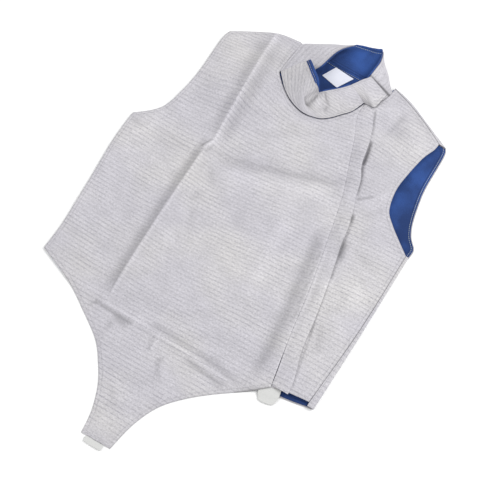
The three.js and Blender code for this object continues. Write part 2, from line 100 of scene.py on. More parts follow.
# Cut edges, each from one corner of the garment to the next
SIDE_LEFT = [(-262, 83), (-261, 24), (-252, -60), (-244, -144), (-244, -196)]
ARMHOLE_LEFT = [
    (-208, 310), (-212, 290), (-210, 221), (-212, 175), (-219, 133), (-232, 109), (-262, 83),
]
SHOULDER_LEFT = [(-89, 354), (-128, 351), (-165, 335), (-208, 310)]
THROAT_LEFT = [(-84, 352), (-86, 335), (-87, 317), (-88, 298), (-88, 282)]
THROAT_FRONT = [
    (-88, 279), (-79, 268), (-64, 254), (-44, 239), (-23, 230), (-7, 228),
    (6, 230), (19, 234), (32, 244), (45, 259), (57, 274), (67, 298),
]
THROAT_RIGHT = [(68, 298), (84, 312), (94, 332), (97, 355)]
SHOULDER_RIGHT = [(97, 355), (134, 341), (171, 322), (210, 297)]
ARMHOLE_RIGHT = [
    (210, 297), (208, 281), (199, 255), (191, 208), (189, 177), (196, 143), (213, 123), (234, 105),
    (255, 88),
]
SIDE_SEAM = [(255, 88), (250.5, -57), (239, -194)]
HEM_RIGHT = [(239, -194), (201, -199), (180, -204)]
TAIL_RIGHT = [
    (179, -204), (160, -221), (112, -256), (77, -286), (51, -317), (34, -357), (25, -403),
]
TAIL_LEFT = [
    (-25, -405), (-30, -372), (-44, -335), (-64, -305), (-88, -278), (-127, -252), (-180, -221),
    (-244, -196),
]

# The back reaches past the front at the right shoulder, the right armhole and the hem.
BACK_SIDE = [(260, 88), (258, 20), (255, -81), (250, -200)]
BACK_ARMHOLE = [
    (224, 296), (228, 280), (228, 215), (232, 180), (239, 145), (248, 123), (261, 106), (260, 88),
]
BACK_SHOULDER = [(97, 358), (134, 346), (171, 326), (224, 296)]
BACK_NECK = [
    (-85, 354), (-54, 354), (-27, 349), (2, 347), (32, 346), (58, 344), (77, 345), (90, 347), (97, 355.4),
]
BACK_HEM = [(246.5, -200), (205, -208), (150, -212), (0, -212), (-150, -210), (-244, -196)]

# The zip flap: where it is stitched down and where it ends. Both lines run past the garment.
FLAP_STITCH = [
    (68, 420), (68, 298), (69, 268), (86, 227), (98, 190), (116, 137), (127, 91),
    (136, 45), (151, -34), (164, -121), (179, -204), (190, -420),
]
FLAP_EDGE = [
    (86, 420), (86, 296), (95, 276), (105, 253), (113, 221), (119, 191), (130, 169), (138, 139),
    (152, 92), (159, 49), (171, -8), (182, -67), (191, -131), (206, -192), (215, -420),
]
FLAP_TOP_Y = 292
FLAP_HEM_Y = -201
FLAP_ROWS = 60              # cuts along the flap's two edges
FLAP_ROOT = 0.05            # how far its sewn edge stands off the line of stitches
FLAP_CUT = (0.044, 0.51)    # metres, across and along
FLAP_LIFTS = table("y reach rise", [
    (208, 30, 5.5), (165, 16, 2.5), (72, 34, 4.5), (14, 12, 1.4), (-34, 16, 1.6), (-95, 45, 1.6),
    (-150, 14, 1.2),
])

# How the cloth lies along the zip: the front is drawn up beside the stitches, and the side front sinks
# under the flap and most where the flap gapes
PLACKET_RIDGE = SimpleNamespace(beside=-2.0, width=2.6, rise=0.9, top_y=270)
UNDER_FLAP = SimpleNamespace(near=6, far=20, depth=1.9)
FLAP_GAP = SimpleNamespace(y=200, reach=26, beside=-0.5, width=4.5, depth=4.0)
FLAP_SETTLED = CLOTH + SEAM + 0.2       # height of the flap over the front, away from its stitches
FLAP_SETTLED_BY = 0.45                  # share of its width at which it has reached that height
FLAP_SUNK = 0.5                         # how deep the stitches pull it in

# How far a cut edge rolls down, and from how far in
PANEL_ROLL = SimpleNamespace(depth=0.7, reach=2.5)
FLAP_ROLL = SimpleNamespace(depth=0.3, reach=2.0)

# Folds of the front: a row is a ridge, or a trough where its rise is below 0. It runs from (x1, y1)
# to (x2, y2), bowed to its left by "bow", and fades out over "fade" of its length at both ends.
FOLD_COLUMNS = "x1 y1 x2 y2 bow width rise fade"
FOLDS = table(FOLD_COLUMNS, [
    (-133, 352, -113, 106, -2, 6, 3.2, 0.05),      # pressed crease, upper half
    (-150, 345, -131, 112, -3, 13, -2.2, 0.2),
    (-116, 340, -97, 108, -3, 10, -2.2, 0.2),
    (-110, 112, -122, 84, 0, 5, 2.8, 0.25),        # kink
    (-119, 92, -108, -215, -2, 6, 3.2, 0.08),      # pressed crease, lower half
    (-132, 92, -120, -215, -2, 11, -2.8, 0.1),
    (-100, 76, 122, 157, -3, 8, -2.8, 0.1),        # across the chest
    (-82, 52, 108, 124, -2, 16, 2.4, 0.2),
    (-212, 60, -138, 57, 0, 9, -1.4, 0.3),
    (-245, 42, -222, 86, 0, 8, 2.0, 0.3),          # below the left armhole
    (-178, 124, -156, 232, 4, 20, -1.6, 0.4),
    (112, 70, 150, -212, 4, 13, -2.8, 0.15),       # beside the zip
    (46, 92, 70, -135, 8, 13, 2.2, 0.35),          # soft ridge down the middle
    (-8, 48, -6, -25, 0, 14, -1.6, 0.4),
    (-106, -22, -72, -52, 3, 8, 1.8, 0.35),
    (-102, -76, -66, -92, 3, 8, 1.6, 0.35),
    (-95, -12, -82, 20, 0, 8, -1.4, 0.35),
    (-120, -221, 130, -227, 4, 6, 1.6, 0.15),      # over the hem of the back
    (-176, -222, -118, -215, 0, 7, 1.6, 0.3),
    (140, 131, 182, 168, -4, 7, 2.2, 0.3),         # side front
    (155, 107, 190, 145, -3, 8, -1.8, 0.3),
    (130, 268, 138, 322, 0, 9, -2.0, 0.4),
    (190, -50, 238, -92, 4, 10, 1.8, 0.4),
    (178, -78, 212, -115, 3, 9, -1.4, 0.4),
])
TAIL_FOLDS = table(FOLD_COLUMNS, [
    (-99, -245, -76, -276, 0, 7, 2.0, 0.4),
    (20, -239, 50, -274, -18, 7, 2.4, 0.25),
    (-37, -313, 0, -354, 5, 7, 2.0, 0.35),
    (-20, -255, 4, -300, 4, 12, 1.4, 0.45),
])
# Finer creases than the solids hold
FINE_FOLDS = table(FOLD_COLUMNS, [
    (-133, 350, -113, 106, -2, 2.2, 1.2, 0.04),    # crown of the pressed crease
    (-119, 92, -108, -212, -2, 2.2, 1.0, 0.08),
    (-172, 335, -150, 112, -6, 24, 2.0, 0.25),     # swell on its left
    (-154, 88, -142, -190, 3, 24, 1.6, 0.25),
    (-111, 108, -123, 82, 0, 2.6, 1.8, 0.25),      # kink
    (-96, 78, 118, 152, -3, 2.6, -0.9, 0.15),      # core of the crease across the chest
    (-60, 190, -20, 215, 4, 9, -0.7, 0.4),
    (-52, 146, 10, 172, 3, 10, 0.6, 0.4),
    (-220, 150, -170, 168, 3, 9, 0.7, 0.4),
    (-232, -20, -186, -2, -3, 8, 0.6, 0.4),
    (-236, -96, -176, -84, 3, 10, -0.6, 0.4),
    (-60, -20, 30, -8, 5, 9, -0.6, 0.4),
    (-86, -120, -20, -108, -4, 8, 0.6, 0.4),
    (0, -150, 96, -132, 4, 10, -0.7, 0.4),
    (64, 10, 118, 24, 3, 8, 0.7, 0.4),
    (70, -70, 132, -58, -3, 7, -0.6, 0.4),
    (-168, -188, -60, -200, -3, 7, -0.8, 0.3),
    (-50, -206, 90, -212, 3, 6, 0.7, 0.3),
    (142, 286, 190, 262, 4, 10, -1.0, 0.4),
    (118, 250, 178, 212, 6, 12, 1.2, 0.4),
    (146, 250, 186, 226, 4, 8, -0.8, 0.4),
    (170, 96, 236, 70, 4, 9, 0.9, 0.4),
    (168, 52, 240, 22, 4, 10, -0.9, 0.4),
    (196, -126, 240, -150, 3, 8, 0.8, 0.4),
    (196, -160, 236, -176, 2, 6, -0.6, 0.4),
])
FINE_TAIL_FOLDS = table(FOLD_COLUMNS, [
    (-118, -224, 134, -231, 4, 3.5, 2.0, 0.05),    # over the hem of the back
    (-60, -213, 136, -221, 3, 7, -1.8, 0.15),
    (30, -232, 124, -240, 0, 5, -1.8, 0.2),
    (-112, -229, -52, -232, 0, 5, -1.8, 0.2),
    (-12, -222, -7, -256, 0, 3, 1.6, 0.3),
    (15, -246, 24, -278, -6, 4, -1.8, 0.3),
    (-90, -262, -20, -300, 6, 8, 0.8, 0.4),
    (60, -236, 100, -252, 3, 7, 0.8, 0.4),
    (-30, -352, 22, -330, 4, 6, 0.7, 0.4),
    (-20, -384, 16, -376, 2, 5, 0.5, 0.4),
])

# Painted light, in the same columns: a row is a painted highlight along a crease, or painted shade where its
# rise is below 0
MARKS = table(FOLD_COLUMNS, [
    (-134, 350, -113, 104, -2, 2.0, 2.4, 0.03),    # crown of the pressed crease and both its sides
    (-143, 345, -122, 108, -3, 9, -2.4, 0.15),
    (-124, 345, -103, 108, -3, 9, -2.2, 0.12),
    (-119, 90, -108, -212, -2, 2.0, 1.4, 0.06),
    (-114, 88, -102, -212, -2, 4.0, -1.2, 0.06),
    (-128, 92, -116, -215, -2, 8, -2.6, 0.1),
    (-122.5, 90, -111.5, -212, -2, 2.5, -1.8, 0.05),
    (-130, 112, -126, 62, 0, 5, -2.0, 0.3),        # kink
    (-117, 110, -128, 84, 0, 1.8, -5.0, 0.2),
    (-112, 106, -122, 82, 0, 1.8, 2.8, 0.2),
    (-108, 100, -117, 78, 0, 2.2, -2.8, 0.25),
    (-105, 70, -66, 24, 3, 7, -1.6, 0.4),
    (-80, 0, -56, -58, -4, 8, -1.4, 0.4),
    (-96, 345, -95, 275, 0, 1.4, -2.2, 0.1),       # beside the collar's left seam
    (-116, 86, 114, 146, -3, 4, -1.2, 0.12),       # across the chest
    (-100, 92, 118, 156, -3, 14, -0.5, 0.2),
    (-40, -214, 134, -222, 3, 6, -2.8, 0.15),      # over the hem of the back
    (-118, -223, 134, -231, 4, 1.6, 2.4, 0.04),
    (-126, -227, -52, -229, 0, 3.0, -4.4, 0.08),
    (-92, -230, -52, -237, 0, 4.5, -3.0, 0.35),
    (-130, -242, -120, -222, 0, 3.5, -2.8, 0.35),
    (40, -232, 124, -240, 0, 3.5, -4.2, 0.2),
    (-14, -222, -9, -256, 0, 2.2, -2.6, 0.3),
    (-8, -222, -3, -256, 0, 2.0, 1.8, 0.3),
    (14, -246, 16, -266, -2, 2.6, -3.6, 0.3),
    (16, -264, 30, -277, -2, 2.4, -2.8, 0.3),
    (-83, -236, -84, -264, 0, 5, -2.0, 0.3),
    (117, 66, 150, -214, 4, 9, -2.6, 0.12),        # beside the zip
    (134, -240, 181, -205, 0, 2.0, -7.0, 0.12),    # edge of the tail above the hem loop
    (158, 66, 167, 24, 0, 5, -3.4, 0.3),           # along the flap
    (140, 44, 162, -84, 0, 2.4, 2.6, 0.15),
    (133, 40, 158, -110, 0, 1.8, -2.6, 0.15),
    (158, -70, 178, -196, 0, 2.0, 2.2, 0.15),
    (170, 0, 178, -60, 0, 5, 1.8, 0.35),
    (160, -20, 170, -74, 0, 3, -1.6, 0.35),
    (150, 110, 152, 90, 0, 3, -4.0, 0.3),
    (137, 132, 166, 154, -2, 2.6, -5.4, 0.2),      # side front
    (136, 332, 124, 250, 2, 5, -1.8, 0.3),
    (152, 300, 140, 262, 2, 7, -1.6, 0.4),
    (176, 292, 190, 250, 0, 16, 1.2, 0.4),
    (170, 60, 232, 28, 4, 7, -1.4, 0.4),
    (196, 14, 236, -40, 4, 12, 1.2, 0.4),
    (190, -70, 214, -140, 3, 6, -1.3, 0.4),
    (-222, 240, -228, -170, 0, 34, 0.9, 0.2),      # painted highlight along the left side
    (-258, 76, -232, 66, 0, 4, -1.8, 0.3),         # below the left armhole
    (-236, 60, -222, 84, 0, 4, -1.8, 0.3),
    (-215, 80, -120, 66, 2, 5, -1.4, 0.3),
])

# Painted shade of the side front only, beside the free edge of the flap
SIDE_MARKS = table(FOLD_COLUMNS, [
    (86, 299, 93, 333, 0, 1.6, -7.0, 0.1),         # under the foot of the tab
    (90, 296, 100, 270, 0, 1.6, -7.0, 0.1),
    (99, 276, 108, 250, 0, 1.6, -5.0, 0.2),
    (111, 244, 121, 193, 1, 2.8, -9.0, 0.15),
    (120, 194, 141, 136, 1, 2.6, -5.0, 0.15),
    (150, 110, 156, 84, 0, 3.0, -4.5, 0.3),
    (163, 66, 172, 12, 0, 5.0, -3.6, 0.3),
    (157, 86, 174, -10, -2, 1.8, -4.6, 0.1),
    (169, 8, 191, -112, -1, 1.6, -3.8, 0.1),
    (185, -76, 208, -194, 0, 1.6, -3.8, 0.1),
])

# Shade on the lining of the back
LINING_MARKS = table(FOLD_COLUMNS, [
    (236, 320, 248, 70, 8, 30, -2.0, 0.02),        # in the right armhole
    (180, -208, 256, -198, 0, 9, -3.0, 0.02),      # in the slit at the hem
    (-60, 262, 40, 330, 0, 30, -2.2, 0.1),         # deep in the neck
])

# Marks of the collar's bands, painted on as shade, and as a highlight where their rise is above 0, which also
# press in a band by its press: x is along the band, y up it
FRONT_BAND_MARKS = table(FOLD_COLUMNS, [
    (114, 25, 84, 18, -2, 3.2, -4.6, 0.25),        # the hook
    (90, 16, 81, 44, 3, 5.0, -5.4, 0.15),
    (54, 46, 53, 22, 3, 2.4, -3.6, 0.2),           # the arc beside the bulge
    (54, 24, 62, 10, 2, 2.2, -3.2, 0.3),
    (69, 40, 71, 16, 0, 7.0, 2.0, 0.3),            # the bulge
])
BACK_BAND_MARKS = table(FOLD_COLUMNS, [
    (162.5, -2, 155, 50, 0, 2.4, -12.0, 0.04),     # pressed in along the end of the tab, with a painted shadow
])
TAB_MARKS = table(FOLD_COLUMNS, [
    (0.4, -2, 0.4, 44, 0, 1.1, -11.0, 0.04),       # painted shadow along its end
])

# Where the weft runs askew: a round patch that leans by "lean" degrees
WEFT_LEANS = table("x y reach_x reach_y lean", [
    (-205, -40, 45, 260, -3.5),
    (-152, 245, 30, 110, 12),
    (-130, -60, 22, 170, 8),
    (-104, 250, 22, 120, -18),
    (-95, -10, 20, 150, -7),
    (-52, 236, 30, 45, -20),
    (30, 20, 95, 260, 7),
    (60, 235, 40, 50, 8),
    (142, 0, 25, 170, 7),
    (150, 245, 38, 60, -15),
    (200, 60, 40, 160, 5),
])

# Collar stations: b is on the neck seam, m half way up, t on the top edge
STATION_COLUMNS = "bx by bz mx my mz tx ty tz"
COLLAR_FRONT = table(STATION_COLUMNS, [
    (66, 298, 13, 53, 301, 24, 35, 306, 33),
    (57, 274, 13, 42, 283, 26, 24, 292, 34),
    (45, 259, 13, 31, 269, 26, 13, 282, 33),
    (32, 244, 13, 20, 256, 24, 2, 274, 30),
    (19, 234, 13, 1, 249, 19, -5, 271, 25),
    (6, 230, 13, -17, 247, 16, -7, 271, 24),       # floor of the dent
    (-7, 228, 13, -22, 250, 22, -11, 273, 37),     # lip of the dent
    (-23, 230, 13, -29, 256, 27, -19, 282, 42),
    (-44, 239, 13, -41, 265, 28, -30, 291, 43),
    (-64, 254, 13, -54, 278, 28, -40, 300, 43),
    (-86, 279, 12.5, -69, 293, 26, -49, 308, 41),
])
COLLAR_TAB = table(STATION_COLUMNS, [
    (91, 334, 13, 73, 336, 23.5, 56, 338, 33.5),
    (88.3, 317, 14, 71, 323, 24.3, 51.5, 331, 34),
    (85, 300, 15, 68, 310, 25, 46, 323.5, 34.5),
    (75.6, 298.8, 14.2, 60.8, 305.2, 24.7, 40.6, 314.6, 34),
    (65.8, 298.0, 13.3, 52.8, 301.0, 24.3, 34.8, 306.0, 33.3),
])
COLLAR_LEFT = table(STATION_COLUMNS, [
    (-87.7, 282, 9.5, -64, 296, 15, -36, 306, 21),
    (-87.7, 298, 9.5, -59, 308, 19, -29, 316, 27),
    (-86.7, 317, 8.8, -55, 323, 21, -25, 331, 29),
    (-85.7, 335, 7, -51, 339, 21, -21, 349, 29),
    (-83.2, 351, 6.9, -48, 355, 20, -16, 364, 27),
    (-60, 365, 8, -33, 368, 18, -9, 377, 24),
    (-32, 378, 12, -17, 382, 16, -2, 388, 20),
])
COLLAR_BACK = table(STATION_COLUMNS, [
    (-54, 355, 1, -32, 380, 2, -2, 395, 10),
    (-27, 350, 1, -12, 376, 3, 9, 397, 12),
    (2, 348, 1, 12, 376, 4, 24, 399, 14),
    (32, 347, 1, 36, 371, 6, 36, 401, 16),
    (58, 345, 2, 61, 371, 11, 48, 402, 19),
    (76, 346, 3, 75, 368, 15, 55, 378, 27),
    (93, 350, 4.5, 84, 352, 17.5, 55, 358, 31),
    (95.2, 341, 6.5, 80, 338, 18, 53, 338, 29),
    (88.6, 321, 7.5, 73, 321, 15, 50, 320, 22),
])
BINDING = 2.6       # how far the lining stands past the silver cloth along the collar's top

LABEL_CORNERS = [(-24, 315), (-11, 342), (27, 337), (10, 306)]
LABEL = SimpleNamespace(
    columns=24, rows=16, across=40, along=30, wall=0.45, top=INSIDE + 0.5,
    swell=0.7, curl=0.35,   # rise of its middle and of its loose edge
)

# Elastic: it comes out from (x, y), turned by "turn" degrees from straight down, and narrows by the
# share "rounding" to its end, where its corners are drawn back by "corner". Its heights go from its root
# to its end in even steps.
LOOPS = table("name x y width reach turn rounding corner heights", [
    ("Hem_loop", 178, -195, 33, 34, 10, 0.22, 3.0, [2.6, 2.6, 2.6, 2.6, 2.4, 1.0, 0.2, 0.0]),
    ("Tail_loop", -0.5, -404.5, 31, 9, 1, 0.04, 0.5, [0.0, 0.0, 0.0]),
])
ELASTIC_CELLS = (20, 24)
ELASTIC_WALL = 1.2
ELASTIC_TOP = 1.4           # its upper face over the heights above

CURVE_STEPS = 5


# Sizes and colours that a user would change

class LameCloth(bpy.types.PropertyGroup):
    """Sizes and colours of the cloth and its sewing."""

    wall: bpy.props.FloatProperty(
        name="Cloth wall", description="Thickness of a panel with its turned seams, in millimetres",
        default=1.2, min=0.4, max=2.0,
    )
    cell: bpy.props.FloatProperty(
        name="Cell", description="Side of the small cells that a panel is cut into, in millimetres",
        default=4.2, min=2.5, max=12.0,
    )
    stripe: bpy.props.FloatProperty(
        name="Stripe spacing", description="Distance between two grey weft stripes, in millimetres",
        default=7.0, min=2.0, max=20.0,
    )
    stitch: bpy.props.FloatProperty(
        name="Stitch", description="Length of one stitch, in millimetres", default=2.7, min=1.5, max=6.0,
    )
    silver: bpy.props.StringProperty(
        name="Silver", description="Conductive cloth, sRGB hex", default="#bebcc2",
    )
    grey: bpy.props.StringProperty(
        name="Grey", description="Weft stripes, sRGB hex", default="#868490",
    )
    blue: bpy.props.StringProperty(
        name="Blue", description="Lining cloth, sRGB hex", default="#34589f",
    )
    navy: bpy.props.StringProperty(
        name="Navy", description="Lining cloth in its folds, sRGB hex", default="#1d3566",
    )
    warm: bpy.props.StringProperty(
        name="Warm", description="Conductive cloth where it has tarnished, sRGB hex", default="#c6c4c5",
    )
    thread: bpy.props.StringProperty(
        name="Thread", description="Thread on the silver cloth, sRGB hex", default="#dedde1",
    )
    turning: bpy.props.FloatProperty(
        name="Turning", description="How far in from an edge it is stitched down, in millimetres",
        default=5.5, min=2.0, max=12.0,
    )


class LameStage(bpy.types.PropertyGroup):
    """Where the camera and the light stand."""

    aim: bpy.props.FloatVectorProperty(
        name="Aim", description="Point of the surface under the middle of the picture",
        default=(0.015, -0.0155, 0.0), subtype="TRANSLATION", unit="LENGTH",
    )
    distance: bpy.props.FloatProperty(
        name="Distance", description="From the camera to that point", default=1.44, unit="LENGTH",
    )
    azimuth: bpy.props.FloatProperty(
        name="Azimuth", description="How far the camera stands round the garment",
        default=math.radians(31.3), subtype="ANGLE",
    )
    elevation: bpy.props.FloatProperty(
        name="Elevation", description="How far the camera looks down",
        default=math.radians(67), subtype="ANGLE",
    )
    lens: bpy.props.FloatProperty(
        name="Lens", description="Focal length in millimetres on a 36 mm sensor", default=67.5,
    )
    sky: bpy.props.FloatProperty(name="Sky", description="Even light from all round", default=0.74)
    key: bpy.props.FloatProperty(
        name="Key", description="Softbox beyond the wearer's left shoulder", default=44.0, subtype="POWER",
    )
    fill: bpy.props.FloatProperty(
        name="Fill", description="Softbox beside the wearer's right hip", default=14.0, subtype="POWER",
    )


# Curves and heights

def smooth_line(points, steps=CURVE_STEPS):
    """A curve through the points, with "steps" points from each to the next."""
    last = len(points) - 1
    line = []
    for i in range(last):
        ring = [points[max(i - 1, 0)], points[i], points[i + 1], points[min(i + 2, last)]]
        line += [curve_point(ring, k / steps) for k in range(steps)]
    return line + [tuple(points[last])]


def curve_point(ring, t):
    """The point at share t between the two middle ones of four points."""
    return tuple(
        0.5 * (2 * b + (c - a) * t + (2 * a - 5 * b + 4 * c - d) * t * t + (3 * b - a - 3 * c + d) * t ** 3)
        for a, b, c, d in zip(*ring)
    )


def along_line(points, share):
    """The point at a share from 0 to 1 along the curve through the points, counted in points."""
    last = len(points) - 1
    place = min(max(share, 0.0), 1.0) * last
    i = min(int(place), last - 1)
    ring = [points[max(i - 1, 0)], points[i], points[i + 1], points[min(i + 2, last)]]
    return curve_point(ring, place - i)


def offset_line(points, distance):
    """The open line moved to its left."""
    moved = []
    for i, (x, y) in enumerate(points):
        before = points[max(i - 1, 0)]
        after = points[min(i + 1, len(points) - 1)]
        run = Vector((after[0] - before[0], after[1] - before[1])).normalized()
        moved.append((x - run.y * distance, y + run.x * distance))
    return moved


def line_x(points, y):
    """x at height y of a line whose points run down the garment."""
    last = len(points) - 1
    i = 0
    while i < last - 1 and points[i + 1][1] > y:
        i += 1
    p0, p1, p2, p3 = (points[k] for k in (max(i - 1, 0), i, i + 1, min(i + 2, last)))
    span = p2[1] - p1[1]
    t = min(max((y - p1[1]) / span, 0.0), 1.0)
    m1 = (p2[0] - p0[0]) / (p2[1] - p0[1]) * span
    m2 = (p3[0] - p1[0]) / (p3[1] - p1[1]) * span
    a = 2 * t ** 3 - 3 * t ** 2 + 1
    b = t ** 3 - 2 * t ** 2 + t
    return a * p1[0] + b * m1 + (1 - a) * p2[0] + (t ** 3 - t ** 2) * m2


def ease(value, low, high):
    """0 below low, 1 above high, smooth between."""
    t = min(max((value - low) / (high - low), 0.0), 1.0)
    return t * t * (3 - 2 * t)


def fold_height(fold, x, y):
    """Rise of one fold at (x, y): a round ridge that fades out at both ends."""
    run = Vector((fold.x2 - fold.x1, fold.y2 - fold.y1))
    length = run.length
    run /= length
    s = ((x - fold.x1) * run.x + (y - fold.y1) * run.y) / length
    if not 0 < s < 1:
        return 0.0
    side = (y - fold.y1) * run.x - (x - fold.x1) * run.y - fold.bow * 4 * s * (1 - s)
    if abs(side) > 3 * fold.width:
        return 0.0
    return fold.rise * ease(s, 0, fold.fade) * ease(1 - s, 0, fold.fade) * math.exp(-(side / fold.width) ** 2)


def folds_at(folds, x, y):
    return sum(fold_height(fold, x, y) for fold in folds)


def rise_at(rises, x, y):
    """Rise of the round swells at (x, y)."""
    return sum(
        row.rise * math.exp(-((x - row.x) / row.reach_x) ** 2 - ((y - row.y) / row.reach_y) ** 2)
        for row in rises
    )


def away_from_edges(x, y):
    """0 at the garment's edge and 1 in its middle, where the front stands off the back."""
    above_foot = max(0.0, y - ARMHOLE_FOOT_Y)
    from_left = x - line_x(SIDE_LEFT, y - above_foot) - above_foot * ARMHOLE_LEAN
    from_shoulder = SHOULDER_Y - max(0.0, abs(x) - NECK_HALF) * SHOULDER_DROP - y
    return (
        ease(from_left, 0, SIDE_EASE) * ease(RIGHT_X - x, 0, SIDE_EASE)
        * ease(from_shoulder, 0, SHOULDER_EASE) * ease(y, HEM_Y, HEM_Y + HEM_EASE)
    )


def waver(x, y, size, height):
    """Uneven rise of hand-smoothed cloth, "size" millimetres from one swell to the next."""
    return height * noise.noise(Vector((x / size, y / size, size)))


def drape(x, y):
    """Underside of the front at (x, y)."""
    over_back = ease(y, HEM_Y - HEM_STEP, HEM_Y)
    climb = ease(x, SIDE_CLIMB.x1, SIDE_CLIMB.x2) * (1 - ease(y, SIDE_CLIMB.y1, SIDE_CLIMB.y2))
    on_back = INSIDE + (SIDE_TOP - CLOTH - INSIDE) * climb + rise_at(HEM_GAPE, x, y)
    on_back += folds_at(FOLDS, x, y) + folds_at(FINE_FOLDS, x, y)
    on_floor = folds_at(TAIL_FOLDS, x, y) + folds_at(FINE_TAIL_FOLDS, x, y)
    middle = away_from_edges(x, y)
    z = over_back * on_back + (1 - over_back) * on_floor + PUFF * middle + rise_at(RISES, x, y)
    z += sum(waver(x, y, size, height) for size, height in WAVERS)
    return max(z, INSIDE * over_back)


def front_top(x, y):
    return drape(x, y) + CLOTH


def weft_shift(x, y):
    """How far the weft through (x, y) has wandered along y."""
    return sum(
        math.tan(math.radians(row.lean)) * row.reach_x * math.sqrt(math.pi) / 2
        * math.erf((x - row.x) / row.reach_x) * math.exp(-((y - row.y) / row.reach_y) ** 2)
        for row in WEFT_LEANS
    )


def no_shift(x, y):
    """The weft of the back and its lining hasn't wandered."""
    return 0.0


def at(x, y, z):
    """A point in the garment's millimetres as a place in the frame."""
    return Vector((x, y + MIDDLE_SHIFT, z)) * MM


# Making pieces

# What a piece is made of: its outer material, then its inner one where that differs, and its slot
FINISHES = {
    "silver": (["silver_weave"], "conductive_cloth"),
    "silver on blue": (["silver_weave", "blue_lining"], "conductive_cloth"),
    "blue": (["blue_lining"], "lining_cloth"),
    "satin": (["label_satin"], "label_tape"),
    "elastic": (["white_elastic"], "elastic"),
    "silver thread": (["silver_thread"], "conductive_cloth"),
    "lining thread": (["lining_thread"], "lining_cloth"),
}
ROUNDED_SHARE = 0.35        # of a wall, by which its edges are rounded
SHARP_ANGLE = math.radians(60)
CUT_ACCURACY = 1e-4
SHORTEST_EDGE = 0.25        # corners of a panel closer than this are one corner
SHORTEST_STEP = 0.6         # points of an outline closer than this are one point
EDGE_STEP = 1.5             # distance between the points of an edge to which cells are measured
PLACKET_REACH = 2           # how near the line of the zip counts as on it
CREASE_PAINTED_SHADING = 0.5           # painted shading for each millimetre of a fold's rise: a highlight on a ridge, shade in a trough


def finish_piece(name, bm, finish, wall, replaces=(), smooth=0):
    """The bmesh as an object that rides on the garment's body, with a wall under its faces."""
    materials, slot = FINISHES[finish]
    mesh = bpy.data.meshes.new(name)
    bm.to_mesh(mesh)
    bm.free()
    for material in materials:
        mesh.materials.append(bpy.data.materials[material])
    mesh.polygons.foreach_set("use_smooth", [True] * len(mesh.polygons))
    piece = bpy.data.objects.new(name, mesh)
    bpy.context.scene.collection.objects.link(piece)
    if wall:
        shell = piece.modifiers.new("Wall", "SOLIDIFY")
        shell.thickness = wall * MM
        shell.offset = -1
        shell.material_offset = len(materials) - 1
        if smooth:
            rounding = piece.modifiers.new("Rounding", "SUBSURF")
            rounding.levels = smooth
            rounding.render_levels = smooth
        else:
            edge = piece.modifiers.new("Edge", "BEVEL")
            edge.width = wall * ROUNDED_SHARE * MM
            edge.segments = 2
            edge.limit_method = "ANGLE"
            edge.angle_limit = SHARP_ANGLE
            edge.harden_normals = True
    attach(piece, "root")
    if replaces:
        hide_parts(*replaces)
    return piece


def spread(low, high, step):
    """Even cuts from low to high, about a step apart, without the ends."""
    count = max(1, round((high - low) / step))
    return [low + (high - low) * i / count for i in range(1, count)]


def cut_cloth(outline, step, fine=()):
    """A flat panel of the outline, cut into cells of about a step and finer in the given spans."""
    bm = bmesh.new()
    bm.faces.new([bm.verts.new((x, y, 0)) for x, y in outline])
    for axis in (1, 0):
        values = [point[axis] for point in outline]
        cuts = spread(min(values), max(values), step)
        for span_axis, low, high, share in fine:
            if span_axis == axis:
                cuts = [cut for cut in cuts if not low < cut < high]
                cuts += spread(low, high, step * share) + [low, high]
        normal = Vector((axis == 0, axis == 1, 0))
        for cut in sorted(cuts):
            everything = bm.verts[:] + bm.edges[:] + bm.faces[:]
            bmesh.ops.bisect_plane(
                bm, geom=everything, dist=CUT_ACCURACY, plane_co=normal * cut, plane_no=normal,
            )
    bmesh.ops.remove_doubles(bm, verts=bm.verts, dist=SHORTEST_EDGE)
    wide = [face for face in bm.faces if len(face.verts) > 4]
    bmesh.ops.triangulate(bm, faces=wide)
    bmesh.ops.recalc_face_normals(bm, faces=bm.faces)
    if sum(face.normal.z for face in bm.faces) < 0:
        bmesh.ops.reverse_faces(bm, faces=bm.faces)
    return bm


def beside_placket(x, y):
    """Whether (x, y) is on the edge under the zip's flap, which has no turned hem."""
    return y < FLAP_TOP_Y and abs(x - line_x(FLAP_STITCH, y)) < PLACKET_REACH


def edge_tree(outline, skipped=None):
    """A tree of points a small step apart along the closed outline."""
    points = []
    for start, end in zip(outline, outline[1:] + outline[:1]):
        run = Vector((end[0] - start[0], end[1] - start[1], 0))
        count = max(1, round(run.length / EDGE_STEP))
        points += [Vector((start[0], start[1], 0)) + run * (k / count) for k in range(count)]
    if skipped:
        points = [point for point in points if not skipped(point.x, point.y)]
    tree = KDTree(len(points))
    for i, point in enumerate(points):
        tree.insert(point, i)
    tree.balance()
    return tree


def lay_cloth(bm, outline, top, weft=weft_shift, hemmed=True, folds=FOLDS, marks=MARKS):
    """Moves a flat panel up to its height.

    The material reads what is kept with it: the run of the weft, the painted highlights and shade of its
    folds and marks, and the distance to the nearest hem.
    """
    tree = edge_tree(outline)
    hem = edge_tree(outline, beside_placket)
    edge = bm.verts.layers.float.new("edge_mm")
    crease = bm.verts.layers.float.new("crease_mm")
    cloth = bm.loops.layers.uv.new("cloth")
    for face in bm.faces:
        for loop in face.loops:
            x, y, _ = loop.vert.co
            loop[cloth].uv = (x * MM, (y - weft(x, y)) * MM)
    for vert in bm.verts:
        x, y, _ = vert.co
        vert[edge] = hem.find(vert.co)[2] if hemmed else NO_HEM
        # painted shading: highlights on the folds' ridges and bright marks, shade in their troughs and dark
        # marks
        vert[crease] = CREASE_PAINTED_SHADING * folds_at(folds, x, y) + folds_at(marks, x, y)
        vert.co = at(x, y, top(x, y, tree.find(vert.co)[2]))


